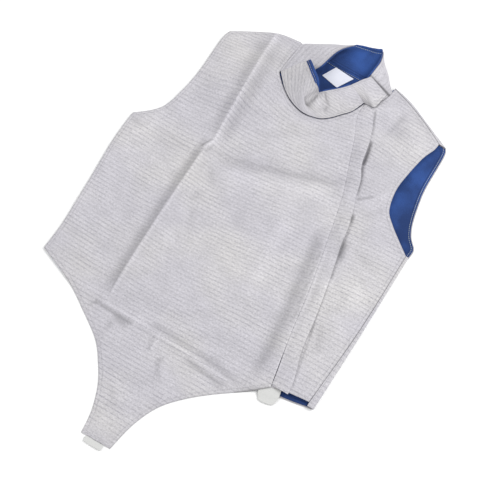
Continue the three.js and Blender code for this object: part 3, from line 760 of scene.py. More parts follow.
def surface(columns, rows, place, cloth, worn=None):
    """A grid bent to a surface. place, cloth and worn take shares from 0 to 1 along and across; worn gives
    its painted shading.
    """
    bm = bmesh.new()
    bmesh.ops.create_grid(bm, x_segments=columns, y_segments=rows, size=0.5)
    edge = bm.verts.layers.float.new("edge_mm")
    crease = bm.verts.layers.float.new("crease_mm")
    layer = bm.loops.layers.uv.new("cloth")
    for face in bm.faces:
        for loop in face.loops:
            u, v = cloth(loop.vert.co.x + 0.5, loop.vert.co.y + 0.5)
            loop[layer].uv = (u * MM, v * MM)
    for vert in bm.verts:
        s, t = vert.co.x + 0.5, vert.co.y + 0.5
        vert[edge] = NO_HEM * min(t, 1 - t)
        vert[crease] = worn(s, t) if worn else 0.0
        vert.co = at(*place(s, t))
    return bm


def closed_outline(*edges):
    """Edges joined end to end, without the points that they share."""
    points = [tuple(point) for edge in edges for point in edge]
    return [p for i, p in enumerate(points) if math.dist(p, points[i - 1]) > SHORTEST_STEP]


def cut_area(outline):
    """Flat area of a closed outline in square metres."""
    pairs = zip(outline, outline[1:] + outline[:1])
    return abs(sum(x1 * y2 - x2 * y1 for (x1, y1), (x2, y2) in pairs)) / 2 * MM * MM


def make_panel(name, outline, top, finish, wall, rests_on, cell_share=1.0, fine=(), flat=None, **laid):
    """A panel cut to its outline and laid down; flat, the rectangle that it is cut from, is not used."""
    bm = cut_cloth(outline, bpy.context.scene.lame_cloth.cell * cell_share, fine)
    lay_cloth(bm, outline, top, **laid)
    piece = finish_piece(name, bm, finish, wall, [name.lower()])
    cut_area(outline)


# Outlines

def front_outline():
    return closed_outline(
        smooth_line(SHOULDER_LEFT), smooth_line(ARMHOLE_LEFT), smooth_line(SIDE_LEFT),
        smooth_line(TAIL_LEFT)[::-1], smooth_line(TAIL_RIGHT)[::-1], smooth_line(FLAP_STITCH[1:-1])[::-1],
        offset_line(smooth_line(THROAT_FRONT), -SEAM)[::-1],
        offset_line(smooth_line(THROAT_LEFT), -SEAM)[::-1],
    )


def side_front_outline():
    stitch = [(x + SEAM, y) for x, y in smooth_line(FLAP_STITCH[1:-1])]
    return closed_outline(
        offset_line(smooth_line(THROAT_RIGHT), -SEAM), smooth_line(SHOULDER_RIGHT),
        smooth_line(ARMHOLE_RIGHT), smooth_line(SIDE_SEAM), smooth_line(HEM_RIGHT), stitch[::-1],
    )


def back_outline():
    side = smooth_line(BACK_SIDE)
    return closed_outline(
        offset_line(smooth_line(BACK_NECK), -SEAM),
        bend_line(smooth_line(BACK_SHOULDER), smooth_line(SHOULDER_RIGHT), front_top),
        smooth_line(BACK_ARMHOLE),
        bend_line(side, side_seam(side), lambda x, y: SIDE_TOP), smooth_line(BACK_HEM),
        smooth_line(SIDE_LEFT)[::-1], smooth_line(ARMHOLE_LEFT)[::-1], smooth_line(SHOULDER_LEFT)[::-1],
    )


def flap_outline():
    rows = [FLAP_TOP_Y + (FLAP_HEM_Y - FLAP_TOP_Y) * i / FLAP_ROWS for i in range(FLAP_ROWS + 1)]
    free = [(line_x(FLAP_EDGE, y), y) for y in rows]
    sewn = [(line_x(FLAP_STITCH, y) + FLAP_ROOT, y) for y in rows]
    return closed_outline(free, sewn[::-1])


# Heights of the panels' upper faces

def rolled(distance, roll):
    """How far an edge sinks: its full depth at the edge, nothing past its reach."""
    return roll.depth * (1 - ease(distance, 0, roll.reach))


def bell(away, width):
    """1 at the middle of a round ridge, and close to nothing two widths away from it."""
    return math.exp(-(away / width) ** 2)


def front_height(x, y, edge):
    ridge = PLACKET_RIDGE
    beside = x - line_x(FLAP_STITCH, y) - ridge.beside
    drawn_up = ridge.rise * bell(beside, ridge.width) if y < ridge.top_y else 0.0
    return front_top(x, y) + drawn_up - rolled(edge, PANEL_ROLL)


def side_front_height(x, y, edge):
    sunk = 0.0
    if y < FLAP_TOP_Y:
        sunk = UNDER_FLAP.depth * (1 - ease(x - line_x(FLAP_STITCH, y), UNDER_FLAP.near, UNDER_FLAP.far))
    beside = x - line_x(FLAP_EDGE, y) - FLAP_GAP.beside
    mouth = FLAP_GAP.depth * bell(beside, FLAP_GAP.width) * bell(y - FLAP_GAP.y, FLAP_GAP.reach)
    return front_top(x, y) - sunk - mouth - rolled(edge, PANEL_ROLL)


def flap_height(x, y, edge):
    stitch = line_x(FLAP_STITCH, y)
    across = (x - stitch) / (line_x(FLAP_EDGE, y) - stitch)
    lift = sum(row.rise * bell(y - row.y, row.reach) for row in FLAP_LIFTS) * ease(across, 0, 1)
    settled = FLAP_SETTLED * ease(across, 0, FLAP_SETTLED_BY) - FLAP_SUNK
    return front_top(x, y) + settled + lift - rolled(edge, FLAP_ROLL)


# Sewing

STITCH_GAP = 0.8
STITCH_LIFT = 0.05
SILVER_THREAD_RADIUS = 0.24
LINING_THREAD_RADIUS = 0.45


def stitch_row(bm, points, length, radius):
    """Small round-ended stitches along a line of places in the frame, all lengths in metres."""
    pitch = length + STITCH_GAP * MM
    gone = 0.0
    for start, end in zip(points, points[1:]):
        run = end - start
        if not run.length:
            continue
        turn = run.to_track_quat("Z", "Y").to_matrix().to_4x4()
        while gone < run.length:
            centre = start + run.normalized() * gone
            shape = Matrix.Translation(centre) @ turn @ Matrix.Diagonal((1, 1, length / 2, 1))
            stitch = bmesh.ops.create_icosphere(bm, subdivisions=1, radius=1.0)
            bmesh.ops.scale(bm, vec=(radius, radius, 1), verts=stitch["verts"])
            bmesh.ops.transform(bm, matrix=shape, verts=stitch["verts"])
            gone += pitch
        gone -= run.length


def on_top(points, height, lift=STITCH_LIFT):
    """The line laid on a surface whose upper height is known."""
    return [at(x, y, height(x, y) + lift) for x, y in points]


# Materials

SATIN_TONES = ("#dfe3f0", "#f1f2fa")
# The elastic's white, toned grey as painted shade
ELASTIC_SHADED_TONES = ("#c1c2c1", "#dcdcda")
LINING_THREAD_TONES = ("#a9b3b4", "#d9deda")
THREAD_SHADE = "#b9b8bf"
PAPER_TONES = ("#f9f9f9", "#fcfcfc")
RIB_SPACING = 1.4           # ribs of the elastic

# Uneven tones of the silver cloth: swells for each metre across and along it, detail of the noise, and
# the span of the noise with the shade at either end of it. The threads are 0.4 mm apart, too fine to
# show, so the grain is drawn 2 to 3 mm coarse.
SILVER_TONES = table("name scale detail low high least most", [
    ("dashes", None, 3.0, 0.36, 0.60, 0.1, 0.8),        # breaks in the stripes, one row of them to a stripe
    ("faint", (14, 19), 2.0, 0.34, 0.66, 0.24, 0.78),   # patches in which the stripes fade
    ("grain", (330, 480), 2.0, 0.3, 0.7, 0.85, 1.145),
    ("slub", (90, 260), 2.0, 0.3, 0.7, 0.95, 1.045),    # thicker threads
    ("mottle", (30, 42), 3.0, 0.3, 0.7, 0.94, 1.05),
    ("worn", (7, 9), 2.0, 0.42, 0.68, 0.0, 1.0),        # where the silver has tarnished to a warmer tone
])
DASHES_ACROSS = 280         # of those breaks, for each metre along the weft


def linear(hex_colour):
    """An sRGB hex colour as linear RGBA."""
    values = [int(hex_colour[i:i + 2], 16) / 255 for i in (1, 3, 5)]
    return [v / 12.92 if v <= 0.04045 else ((v + 0.055) / 1.055) ** 2.4 for v in values] + [1.0]


def add_node(tree, kind, inputs=(), output=0, **settings):
    """Adds a node and gives one of its sockets. inputs hold a value or another socket for each input."""
    node = tree.nodes.new("ShaderNode" + kind)
    for key, value in settings.items():
        setattr(node, key, value)
    for key, value in dict(inputs).items():
        if isinstance(value, bpy.types.NodeSocket):
            tree.links.new(value, node.inputs[key])
        else:
            node.inputs[key].default_value = value
    return node.outputs[output]


def new_material(name, **sockets):
    """A material whose even values are set on the shader itself."""
    material = bpy.data.materials.new(name)
    material.use_nodes = True
    shader = material.node_tree.nodes["Principled BSDF"]
    for key, value in sockets.items():
        shader.inputs[key.replace("_", " ")].default_value = value
    return material.node_tree, shader


def make_silver(settings):
    """Woven conductive cloth: pale silver with a soft grain, and thin broken grey stripes along the weft."""
    tree, shader = new_material(
        "silver_weave", Roughness=0.6, Metallic=0.05, Specular_IOR_Level=0.22, Sheen_Weight=0.1,
    )
    add = partial(add_node, tree)
    cloth = add("UVMap", uv_map="cloth")
    along = add("SeparateXYZ", {0: cloth}, output=1)
    tones = {}
    for tone in SILVER_TONES:
        scale = tone.scale or (DASHES_ACROSS, 1000 / settings.stripe)
        place = add("Mapping", {0: cloth, "Scale": (*scale, 1)})
        spots = add("TexNoise", {"Vector": place, "Scale": 1.0, "Detail": tone.detail})
        tones[tone.name] = add(
            "MapRange", {0: spots, 1: tone.low, 2: tone.high, 3: tone.least, 4: tone.most},
        )

    # A dark weft every "stripe" millimetres, with a lighter rib beside it. It wanders, fades and breaks up.
    wander_map = add("Mapping", {0: cloth, "Scale": (16, 50, 1)})
    wander = add("TexNoise", {"Vector": wander_map, "Scale": 1.0, "Detail": 2.0})
    wander = add("Math", {0: wander, 1: 2.6 * MM}, operation="MULTIPLY")
    rows = add("Math", {0: along, 1: wander}, operation="ADD")
    rows = add("Math", {0: rows, 1: settings.stripe * MM}, operation="DIVIDE")
    beside = add("Math", {0: rows, 1: 0.5}, operation="PINGPONG")
    stripe = add("MapRange", {0: beside, 1: 0.17, 2: 0.03}, interpolation_type="SMOOTHSTEP")
    rib = add("MapRange", {0: beside, 1: 0.33, 2: 0.47}, interpolation_type="SMOOTHSTEP")
    ink = add("Math", {0: stripe, 1: tones["dashes"]}, operation="MULTIPLY")
    ink = add("Math", {0: ink, 1: tones["faint"]}, operation="MULTIPLY")

    silver = add(
        "Mix", {0: tones["worn"], 6: linear(settings.silver), 7: linear(settings.warm)},
        output=2, data_type="RGBA",
    )
    shade = add("Math", {0: tones["grain"], 1: tones["slub"]}, operation="MULTIPLY")
    shade = add("Math", {0: shade, 1: tones["mottle"]}, operation="MULTIPLY")
    shade = add("Math", {0: rib, 1: 0.045, 2: shade}, operation="MULTIPLY_ADD")

    # Painted highlight on the crown of a crease, painted shade down in it
    crease = add("Attribute", output=2, attribute_name="crease_mm")
    crease_shade = add("MapRange", {0: crease, 1: -9.0, 2: 3.0, 3: 0.4, 4: 1.2})
    shade = add("Math", {0: shade, 1: crease_shade}, operation="MULTIPLY")

    # The turned edge ends in a groove where it is stitched down, darkened there as painted shade
    edge = add("Attribute", output=2, attribute_name="edge_mm")
    off_groove = add("Math", {0: edge, 1: settings.turning}, operation="SUBTRACT")
    off_groove = add("Math", {0: off_groove}, operation="ABSOLUTE")
    groove = add("MapRange", {0: off_groove, 1: 1.3, 2: 0.2}, interpolation_type="SMOOTHSTEP")
    groove_shade = add("MapRange", {0: groove, 3: 1.0, 4: 0.91})
    shade = add("Math", {0: shade, 1: groove_shade}, operation="MULTIPLY")

    # Painted shade along the cut edges, where they roll down
    rim_shade = add("MapRange", {0: edge, 1: 0.0, 2: 2.2, 3: 0.7, 4: 1.0})
    shade = add("Math", {0: shade, 1: rim_shade}, operation="MULTIPLY")
    shaded = add("VectorMath", {0: silver, 1: shade}, operation="MULTIPLY")
    colour = add(
        "Mix", {0: ink, 6: shaded, 7: linear(settings.grey)}, output=2, data_type="RGBA",
    )
    tree.links.new(colour, shader.inputs["Base Color"])

    # Relief: crinkles, grain, the stripe's sunken thread and the stitched groove
    crinkle_map = add("Mapping", {0: cloth, "Scale": (85, 55, 1)})
    crinkle = add("TexNoise", {"Vector": crinkle_map, "Scale": 1.0, "Detail": 4.0})
    height = add("Math", {0: crinkle, 1: 1.3}, operation="MULTIPLY")
    height = add("Math", {0: tones["grain"], 1: 2.0, 2: height}, operation="MULTIPLY_ADD")
    height = add("Math", {0: stripe, 1: -0.14, 2: height}, operation="MULTIPLY_ADD")
    height = add("Math", {0: groove, 1: -1.0, 2: height}, operation="MULTIPLY_ADD")
    bump = add("Bump", {"Strength": 0.4, "Distance": 0.0008, "Height": height})
    tree.links.new(bump, shader.inputs["Normal"])


def make_blue(settings):
    """Plain-woven polycotton lining: matt blue, lighter in random patches of wear, with painted light and
    navy painted shade in its folds, marks and stitched grooves.
    """
    tree, shader = new_material("blue_lining", Roughness=0.85, Specular_IOR_Level=0.2, Sheen_Weight=0.25)
    add = partial(add_node, tree)
    cloth = add("UVMap", uv_map="cloth")
    thread_map = add("Mapping", {0: cloth, "Scale": (760, 760, 1)})
    thread = add("TexNoise", {"Vector": thread_map, "Scale": 1.0, "Detail": 2.0})
    rubbed_map = add("Mapping", {0: cloth, "Scale": (24, 24, 1)})
    rubbed_and_lit = add("TexNoise", {"Vector": rubbed_map, "Scale": 1.0, "Detail": 4.0})
    edge = add("Attribute", output=2, attribute_name="edge_mm")
    off_groove = add("Math", {0: edge, 1: settings.turning}, operation="SUBTRACT")
    off_groove = add("Math", {0: off_groove}, operation="ABSOLUTE")
    groove = add("MapRange", {0: off_groove, 1: 1.4, 2: 0.0}, interpolation_type="SMOOTHSTEP")
    shade = add("Math", {0: thread, 1: 0.5, 2: rubbed_and_lit}, operation="MULTIPLY_ADD")
    shade = add("MapRange", {0: shade, 1: 0.5, 2: 1.0})
    # Painted shade in the stitched groove
    shade = add("Math", {0: groove, 1: -0.5, 2: shade}, operation="MULTIPLY_ADD")
    # Painted light and shade of the marks
    crease = add("Attribute", output=2, attribute_name="crease_mm")
    shade = add("Math", {0: crease, 1: 0.25, 2: shade}, operation="MULTIPLY_ADD", use_clamp=True)
    colour = add(
        "Mix", {0: shade, 6: linear(settings.navy), 7: linear(settings.blue)},
        output=2, data_type="RGBA",
    )
    tree.links.new(colour, shader.inputs["Base Color"])
    height = add("Math", {0: rubbed_and_lit, 1: 2.0, 2: thread}, operation="MULTIPLY_ADD")
    height = add("Math", {0: groove, 1: -1.0, 2: height}, operation="MULTIPLY_ADD")
    bump = add("Bump", {"Strength": 0.4, "Distance": 0.0007, "Height": height})
    tree.links.new(bump, shader.inputs["Normal"])


def make_satin():
    """Satin label tape: smooth bluish white with fine ribs along it, and nothing on it."""
    tree, shader = new_material("label_satin", Roughness=0.38, Specular_IOR_Level=0.5, Sheen_Weight=0.2)
    add = partial(add_node, tree)
    cloth = add("UVMap", uv_map="cloth")
    soft_map = add("Mapping", {0: cloth, "Scale": (40, 60, 1)})
    soft = add("TexNoise", {"Vector": soft_map, "Scale": 1.0, "Detail": 2.0})
    colour = add(
        "Mix", {0: soft, 6: linear(SATIN_TONES[0]), 7: linear(SATIN_TONES[1])},
        output=2, data_type="RGBA",
    )
    tree.links.new(colour, shader.inputs["Base Color"])
    ribs_map = add("Mapping", {0: cloth, "Scale": (30, 900, 1)})
    ribs = add("TexNoise", {"Vector": ribs_map, "Scale": 1.0, "Detail": 1.0})
    bump = add("Bump", {"Strength": 0.25, "Distance": 0.0003, "Height": ribs})
    tree.links.new(bump, shader.inputs["Normal"])


def make_elastic():
    """Woven elastic: white, toned grey as painted shade, with ribs along its length."""
    tree, shader = new_material("white_elastic", Roughness=0.7, Specular_IOR_Level=0.3, Sheen_Weight=0.2)
    add = partial(add_node, tree)
    cloth = add("UVMap", uv_map="cloth")
    across = add("SeparateXYZ", {0: cloth}, output=1)
    ribs = add("Math", {0: across, 1: 1 / (RIB_SPACING * MM)}, operation="MULTIPLY")
    ribs = add("Math", {0: ribs, 1: 0.5}, operation="PINGPONG")
    grain_map = add("Mapping", {0: cloth, "Scale": (700, 300, 1)})
    grain = add("TexNoise", {"Vector": grain_map, "Scale": 1.0, "Detail": 2.0})
    height = add("Math", {0: grain, 1: 0.5, 2: ribs}, operation="MULTIPLY_ADD")
    colour = add(
        "Mix", {0: height, 6: linear(ELASTIC_SHADED_TONES[0]), 7: linear(ELASTIC_SHADED_TONES[1])},
        output=2, data_type="RGBA",
    )
    tree.links.new(colour, shader.inputs["Base Color"])
    bump = add("Bump", {"Strength": 0.5, "Distance": 0.0005, "Height": height})
    tree.links.new(bump, shader.inputs["Normal"])


def make_thread(name, dark, light):
    """Spun polyester thread, twisted: two tones along each stitch."""
    tree, shader = new_material(name, Roughness=0.6, Specular_IOR_Level=0.4, Sheen_Weight=0.2)
    add = partial(add_node, tree)
    place = add("TexCoord", output=3)
    twist = add("TexNoise", {"Vector": place, "Scale": 900.0, "Detail": 1.0})
    colour = add("Mix", {0: twist, 6: linear(dark), 7: linear(light)}, output=2, data_type="RGBA")
    tree.links.new(colour, shader.inputs["Base Color"])
    bump = add("Bump", {"Strength": 0.3, "Distance": 0.0001, "Height": twist})
    tree.links.new(bump, shader.inputs["Normal"])


def make_floor():
    """White paper sweep: matt, with the faintest unevenness."""
    tree, shader = new_material("paper_floor", Roughness=0.9, Specular_IOR_Level=0.1)
    add = partial(add_node, tree)
    place = add("TexCoord", output=3)
    fibres = add("TexNoise", {"Vector": place, "Scale": 60.0, "Detail": 2.0})
    colour = add(
        "Mix", {0: fibres, 6: linear(PAPER_TONES[0]), 7: linear(PAPER_TONES[1])},
        output=2, data_type="RGBA",
    )
    tree.links.new(colour, shader.inputs["Base Color"])


# The back's turned edges, the lining and the small pieces

BACK_TOP = 1.3
TURN_WALL = 1.0
TURN_LAP = 10               # how far the turned cloth runs in under the garment
TURN_LIFT = 0.1
SIDE_TURN = SimpleNamespace(columns=80, rows=18, along=290, across=40)
SHOULDER_TURN = SimpleNamespace(columns=40, rows=14, along=140, across=20)
LINING_TOP = 2.5
LINING_WALL = 0.7
LINING_INSET = 1.5
LINING_SIDE_INSET = 6

# Cells of a panel, as shares of the cell that is set: coarse where it lies flat, fine beside the zip.
# The front is finer along its pressed crease, across the chest and over the hem of the back; a row is
# the axis (0 is x), the span and the share.
BACK_CELL_SHARE = 1.8
ZIP_CELL_SHARE = 0.62
FRONT_FINE = [(0, -140, -96, 0.5), (1, 62, 164, 0.6), (1, -236, -206, 0.6)]


def bend_line(edge, seam, height):
    """Where cloth that is turned up round an edge begins to curve, point by point."""
    bends = []
    for outer, inner in zip(edge, seam):
        inward = Vector((inner[0] - outer[0], inner[1] - outer[1])).normalized()
        bends.append(tuple(Vector(outer) + inward * (height(*inner) - TURN_LIFT) / 2))
    return bends


def side_seam(points):
    """Points of the side seam at the same heights as the given ones."""
    return [(line_x(SIDE_SEAM, max(y, SIDE_SEAM[-1][1])), y) for x, y in points]


def turned(outer, seam, top, t):
    """A point on cloth that runs from a seam over a round edge and in under the garment."""
    inward = Vector((seam[0] - outer[0], seam[1] - outer[1]))
    width = inward.length
    inward.normalize()
    radius = (top - TURN_LIFT) / 2
    flat = max(width - radius - SEAM, 0.1)
    lengths = (flat, math.pi * radius, TURN_LAP)
    gone = t * sum(lengths)
    if gone < lengths[0]:
        back, z = radius + flat - gone, top
    elif gone < lengths[0] + lengths[1]:
        angle = (gone - lengths[0]) / radius
        back, z = radius * (1 - math.sin(angle)), TURN_LIFT + radius * (1 + math.cos(angle))
    else:
        back, z = radius + gone - lengths[0] - lengths[1], TURN_LIFT
    return outer[0] + inward.x * back, outer[1] + inward.y * back, z


def side_turn_place(s, t):
    outer = along_line(BACK_SIDE, s)
    return turned(outer, side_seam([outer])[0], SIDE_TOP, t)


def shoulder_turn_place(s, t):
    outer, seam = along_line(BACK_SHOULDER, s), along_line(SHOULDER_RIGHT, s)
    return turned(outer, seam, front_top(*seam) - SEAM, t)


def lining_height(x, y, edge):
    return LINING_TOP + waver(x, y, *LINING_WAVER)


def lining_outline():
    """The back's outline, drawn in from its edges but not at the neck and shoulder seams."""
    return closed_outline(
        offset_line(smooth_line(BACK_NECK), -SEAM), smooth_line(SHOULDER_RIGHT),
        offset_line(smooth_line(BACK_ARMHOLE), -LINING_INSET),
        [(x - LINING_SIDE_INSET, y) for x, y in smooth_line(BACK_SIDE)],
        offset_line(smooth_line(BACK_HEM), -LINING_INSET),
        [(x + LINING_INSET, y) for x, y in smooth_line(SIDE_LEFT)[::-1]],
        offset_line(smooth_line(ARMHOLE_LEFT)[::-1], -LINING_INSET),
        offset_line(smooth_line(SHOULDER_LEFT)[::-1], -LINING_INSET),
    )


def label_place(s, t):
    a, b, c, d = (Vector(corner) for corner in LABEL_CORNERS)
    point = a.lerp(d, s).lerp(b.lerp(c, s), t)
    swell = LABEL.swell * math.sin(math.pi * s) * math.sin(math.pi * t)
    return point.x, point.y, LABEL.top + swell + LABEL.curl * ease(s, 0.75, 1)


def loop_place(loop, s, t):
    """A point on elastic: s goes from its root outwards, t across it."""
    turn = math.radians(loop.turn)
    out = Vector((math.sin(turn), -math.cos(turn)))
    across = Vector((out.y, -out.x))
    narrowed = 1 - loop.rounding * ease(s, 0.45, 1) ** 2
    point = Vector((loop.x, loop.y)) + out * loop.reach * s + across * loop.width * (t - 0.5) * narrowed
    point -= out * loop.corner * ease(s, 0.5, 1) * (2 * abs(t - 0.5)) ** 3
    place = s * (len(loop.heights) - 1)
    i = min(int(place), len(loop.heights) - 2)
    z = loop.heights[i] + (loop.heights[i + 1] - loop.heights[i]) * (place - i)
    return point.x, point.y, z + ELASTIC_TOP


# Collar bands: cut size in millimetres, lean of the weft at either end in degrees, how far below the
# band's top its silver cloth stops at its far end, how many millimetres it goes down past the seam
# ("foot"), how deep its marks press it in ("press"), and the share of its length where its lining starts
BANDS = table("name stations length height lean end_lean bare foot marks press lined_from", [
    ("Collar_front", COLLAR_FRONT, 180, 48, -52, -18, 0.13, 0.0, FRONT_BAND_MARKS, -0.35, 0),
    ("Collar_tab", COLLAR_TAB, 50, 42, -50, -50, 0, 1.5, TAB_MARKS, 0, 1),
    ("Collar_left", COLLAR_LEFT, 112, 50, 0, 0, 0, 2.0, [], 0, 0),
    ("Collar_back", COLLAR_BACK, 180, 48, 0, 0, 0, 2.0, BACK_BAND_MARKS, -0.1, 0),
])
STATION_CELLS = 14          # cells along a band from one station to the next
BAND_CELLS = 20             # cells up a band
SLOPE_STEP = 0.01           # share of a band over which its slope is taken
RIM_STEP = 0.05             # and the share by which its rims are carried on
BARE_SPAN = (0.55, 0.7)     # where along the front band its silver cloth drops below the lining
BAND_LINING_DEPTH = CLOTH + SEAM + LINING_WALL
FOOT_SHARE = 0.12           # how far up a band its foot is drawn down
BINDING_FROM = 0.8          # how far up it the lining begins to stand out

# Lining of a band: painted lighter by this much in its middle, which fades out from its foot, its top and its
# first end over the given shares, and painted shade of this much towards its foot
BAND_LINING_LIGHT = SimpleNamespace(rise=1.7, foot=(0.12, 0.4), top=(0.1, 0.35), end=(0.05, 0.3), shade=0.6)


def band_place(stations, s, t):
    """A point on the outer face of a band: s goes along its stations, t from the seam to its top."""
    lines = [[tuple(getattr(r, k + axis) for axis in "xyz") for r in stations] for k in "bmt"]
    return Vector(along_line([along_line(line, s) for line in lines], t))


def band_inside(band, s, t, depth):
    """A point of the band moved towards the wearer."""
    place = partial(band_place, band.stations)
    along = place(min(s + SLOPE_STEP, 1), t) - place(max(s - SLOPE_STEP, 0), t)
    up = place(s, min(t + SLOPE_STEP, 1)) - place(s, max(t - SLOPE_STEP, 0))
    return place(s, t) + along.cross(up).normalized() * depth


def make_band(band, lined):
    """The silver cloth of a band, or its lining, which starts at a share of the band's length."""
    first = band.lined_from if lined else 0
    depth = BAND_LINING_DEPTH if lined else 0
    share = 1 - first
    first_lean, last_lean = (math.tan(math.radians(lean)) for lean in (band.lean, band.end_lean))

    # The marks dent the band and are painted on as shade and highlights
    def worn(s, t):
        return folds_at(band.marks, s * band.length, t * band.height)

    # Painted light on a lining: lighter in its middle, painted shade towards its foot
    def rubbed_and_lit(s, t):
        middle = ease(t, *BAND_LINING_LIGHT.foot) * ease(1 - t, *BAND_LINING_LIGHT.top) * ease(s, *BAND_LINING_LIGHT.end)
        return BAND_LINING_LIGHT.rise * middle - BAND_LINING_LIGHT.shade * (1 - t)

    def place(s, t):
        """Silver cloth is drawn down past its seam; the lining stands past the silver at the top."""
        dent = band.press * worn(s, t)
        if not lined:
            top = 1 - band.bare * ease(s, *BARE_SPAN)
            point = band_inside(band, s, t * top, dent)
            up = band_inside(band, s, t * top + RIM_STEP, dent) - point
            return point - up.normalized() * band.foot * (1 - ease(t, 0, FOOT_SHARE))
        point = band_inside(band, first + s * share, t, depth + dent)
        up = point - band_inside(band, first + s * share, t - RIM_STEP, depth + dent)
        return point + up.normalized() * BINDING * ease(t, BINDING_FROM, 1)

    def cloth(s, t):
        askew = first_lean * s + (last_lean - first_lean) * s * s / 2
        return s * band.length, t * band.height + askew * band.length

    columns = STATION_CELLS * (len(band.stations) - 1)
    bm = surface(columns, BAND_CELLS, place, cloth, rubbed_and_lit if lined else worn)
    if lined:
        piece = finish_piece(band.name + "_lining", bm, "blue", LINING_WALL, [band.name.lower() + "_lining"])
    else:
        bmesh.ops.reverse_faces(bm, faces=bm.faces)
        piece = finish_piece(band.name, bm, "silver on blue", CLOTH, [band.name.lower()])


# Where the rows of stitches run

# Edges of the panels, and how far in from them the cloth is stitched down. An inset is below 0 where
# the cloth lies to the right of the edge.
THROAT_INSET = -5.5
THROAT_HIDDEN = 4           # last points of the throat seam, which the tab covers
STITCHED_EDGES = [
    (ARMHOLE_LEFT, 5.5), (SHOULDER_LEFT, 4.5), (TAIL_LEFT, -5.5), (TAIL_RIGHT, -5.5), (HEM_RIGHT, -5.0),
    (ARMHOLE_RIGHT, -5.5), (SHOULDER_RIGHT, -4.5),
]
FLAP_STITCH_INSET = 1.5
FLAP_MIDDLE = 4.0           # a distance to the flap's edge at which it is flat
LINING_NECK = SimpleNamespace(inset=-5.5, lift=0.5, hidden=6)
BAND_LINING_LIFT = 0.15
LINING_ARMHOLE_INSET = -4.5
BAND_TOP_ROW = ((0, 0.93), (1, 0.93), 60)           # shares along and up a band at both ends, and steps
TAB_END_ROW = ((0.06, 0.05), (0.06, 0.95), 18)
BACK_BAND_ROW = ((0.02, 0.88), (0.57, 0.88), 55)


def band_row(band, depth, start, end, steps):
    """Places along a line on a band, moved in by a depth."""
    places = []
    for k in range(steps + 1):
        s, t = (a + (b - a) * k / steps for a, b in zip(start, end))
        places.append(at(*band_inside(band, s, t, depth)))
    return places


def silver_rows():
    throat = smooth_line(THROAT_LEFT) + smooth_line(THROAT_FRONT)[:-THROAT_HIDDEN]
    lines = [offset_line(throat, THROAT_INSET)]
    lines += [offset_line(smooth_line(edge), inset) for edge, inset in STITCHED_EDGES]
    rows = [on_top(line, front_top) for line in lines]
    flap = offset_line(smooth_line(FLAP_STITCH[2:-1]), FLAP_STITCH_INSET)
    rows.append(on_top(flap, lambda x, y: flap_height(x, y, FLAP_MIDDLE)))
    front, tab = BANDS[:2]
    rows += [band_row(band, -STITCH_LIFT, *BAND_TOP_ROW) for band in (front, tab)]
    rows.append(band_row(tab, -STITCH_LIFT, *TAB_END_ROW))
    return rows


def lining_rows():
    armhole = offset_line(smooth_line(BACK_ARMHOLE), LINING_ARMHOLE_INSET)
    neck = smooth_line(BACK_NECK)[LINING_NECK.hidden:-LINING_NECK.hidden]
    lining_top = partial(lining_height, edge=NO_HEM)
    return [
        on_top(armhole, lining_top),
        on_top(offset_line(neck, LINING_NECK.inset), lining_top, LINING_NECK.lift),
        band_row(BANDS[3], BAND_LINING_DEPTH + BAND_LINING_LIFT, *BACK_BAND_ROW),
    ]


# Operators

FLOOR_HALF = 6.0            # metres, as are the rest of the stage's sizes
FLOOR_GAP = 0.0004
SENSOR_WIDTH = 36.0         # millimetres
SOFTBOXES = table("name place size", [("Key", (1.5, 1.2, 2.3), 1.3), ("Fill", (-1.6, -1.0, 2.4), 1.8)])


class LAME_OT_stage(bpy.types.Operator):
    """Camera, floor and soft light."""

    bl_idname = "lame.stage"
    bl_label = "Stage"

    def execute(self, context):
        settings = context.scene.lame_stage
        scene = context.scene
        aim = Vector(settings.aim)
        flat = math.cos(settings.elevation) * settings.distance
        away = Vector((
            math.sin(settings.azimuth) * flat, -math.cos(settings.azimuth) * flat,
            math.sin(settings.elevation) * settings.distance,
        ))
        data = bpy.data.cameras.new("Camera")
        data.lens = settings.lens
        data.sensor_width = SENSOR_WIDTH
        camera = bpy.data.objects.new("Camera", data)
        camera.location = aim + away
        camera.rotation_euler = (-away).to_track_quat("-Z", "Y").to_euler()
        scene.collection.objects.link(camera)
        scene.camera = camera

        bm = bmesh.new()
        bmesh.ops.create_grid(bm, x_segments=1, y_segments=1, size=FLOOR_HALF)
        bmesh.ops.translate(bm, verts=bm.verts, vec=(0, 0, -FLOOR_GAP))
        mesh = bpy.data.meshes.new("Floor")
        bm.to_mesh(mesh)
        bm.free()
        mesh.materials.append(bpy.data.materials["paper_floor"])
        floor = bpy.data.objects.new("Floor", mesh)
        scene.collection.objects.link(floor)

        world = bpy.data.worlds.new("Studio")
        world.use_nodes = True
        sky = world.node_tree.nodes["Background"]
        sky.inputs["Color"].default_value = (1.0, 1.0, 1.0, 1.0)
        sky.inputs["Strength"].default_value = settings.sky
        scene.world = world
        for box in SOFTBOXES:
            add_softbox(box.name, box.place, box.size, getattr(settings, box.name.lower()))
        scene.view_settings.view_transform = "Standard"
        return {"FINISHED"}


def add_softbox(name, place, size, power):
    """A square soft light that faces the middle of the garment."""
    data = bpy.data.lights.new(name, "AREA")
    data.size = size
    data.energy = power
    light = bpy.data.objects.new(name, data)
    light.location = place
    light.rotation_euler = (-Vector(place)).to_track_quat("-Z", "Y").to_euler()
    bpy.context.scene.collection.objects.link(light)


class LAME_OT_materials(bpy.types.Operator):
    """Cloths, threads and the floor's paper."""

    bl_idname = "lame.materials"
    bl_label = "Materials"

    def execute(self, context):
        settings = context.scene.lame_cloth
        make_silver(settings)
        make_blue(settings)
        make_satin()
        make_elastic()
        make_thread("silver_thread", THREAD_SHADE, settings.thread)
        make_thread("lining_thread", *LINING_THREAD_TONES)
        make_floor()
        return {"FINISHED"}


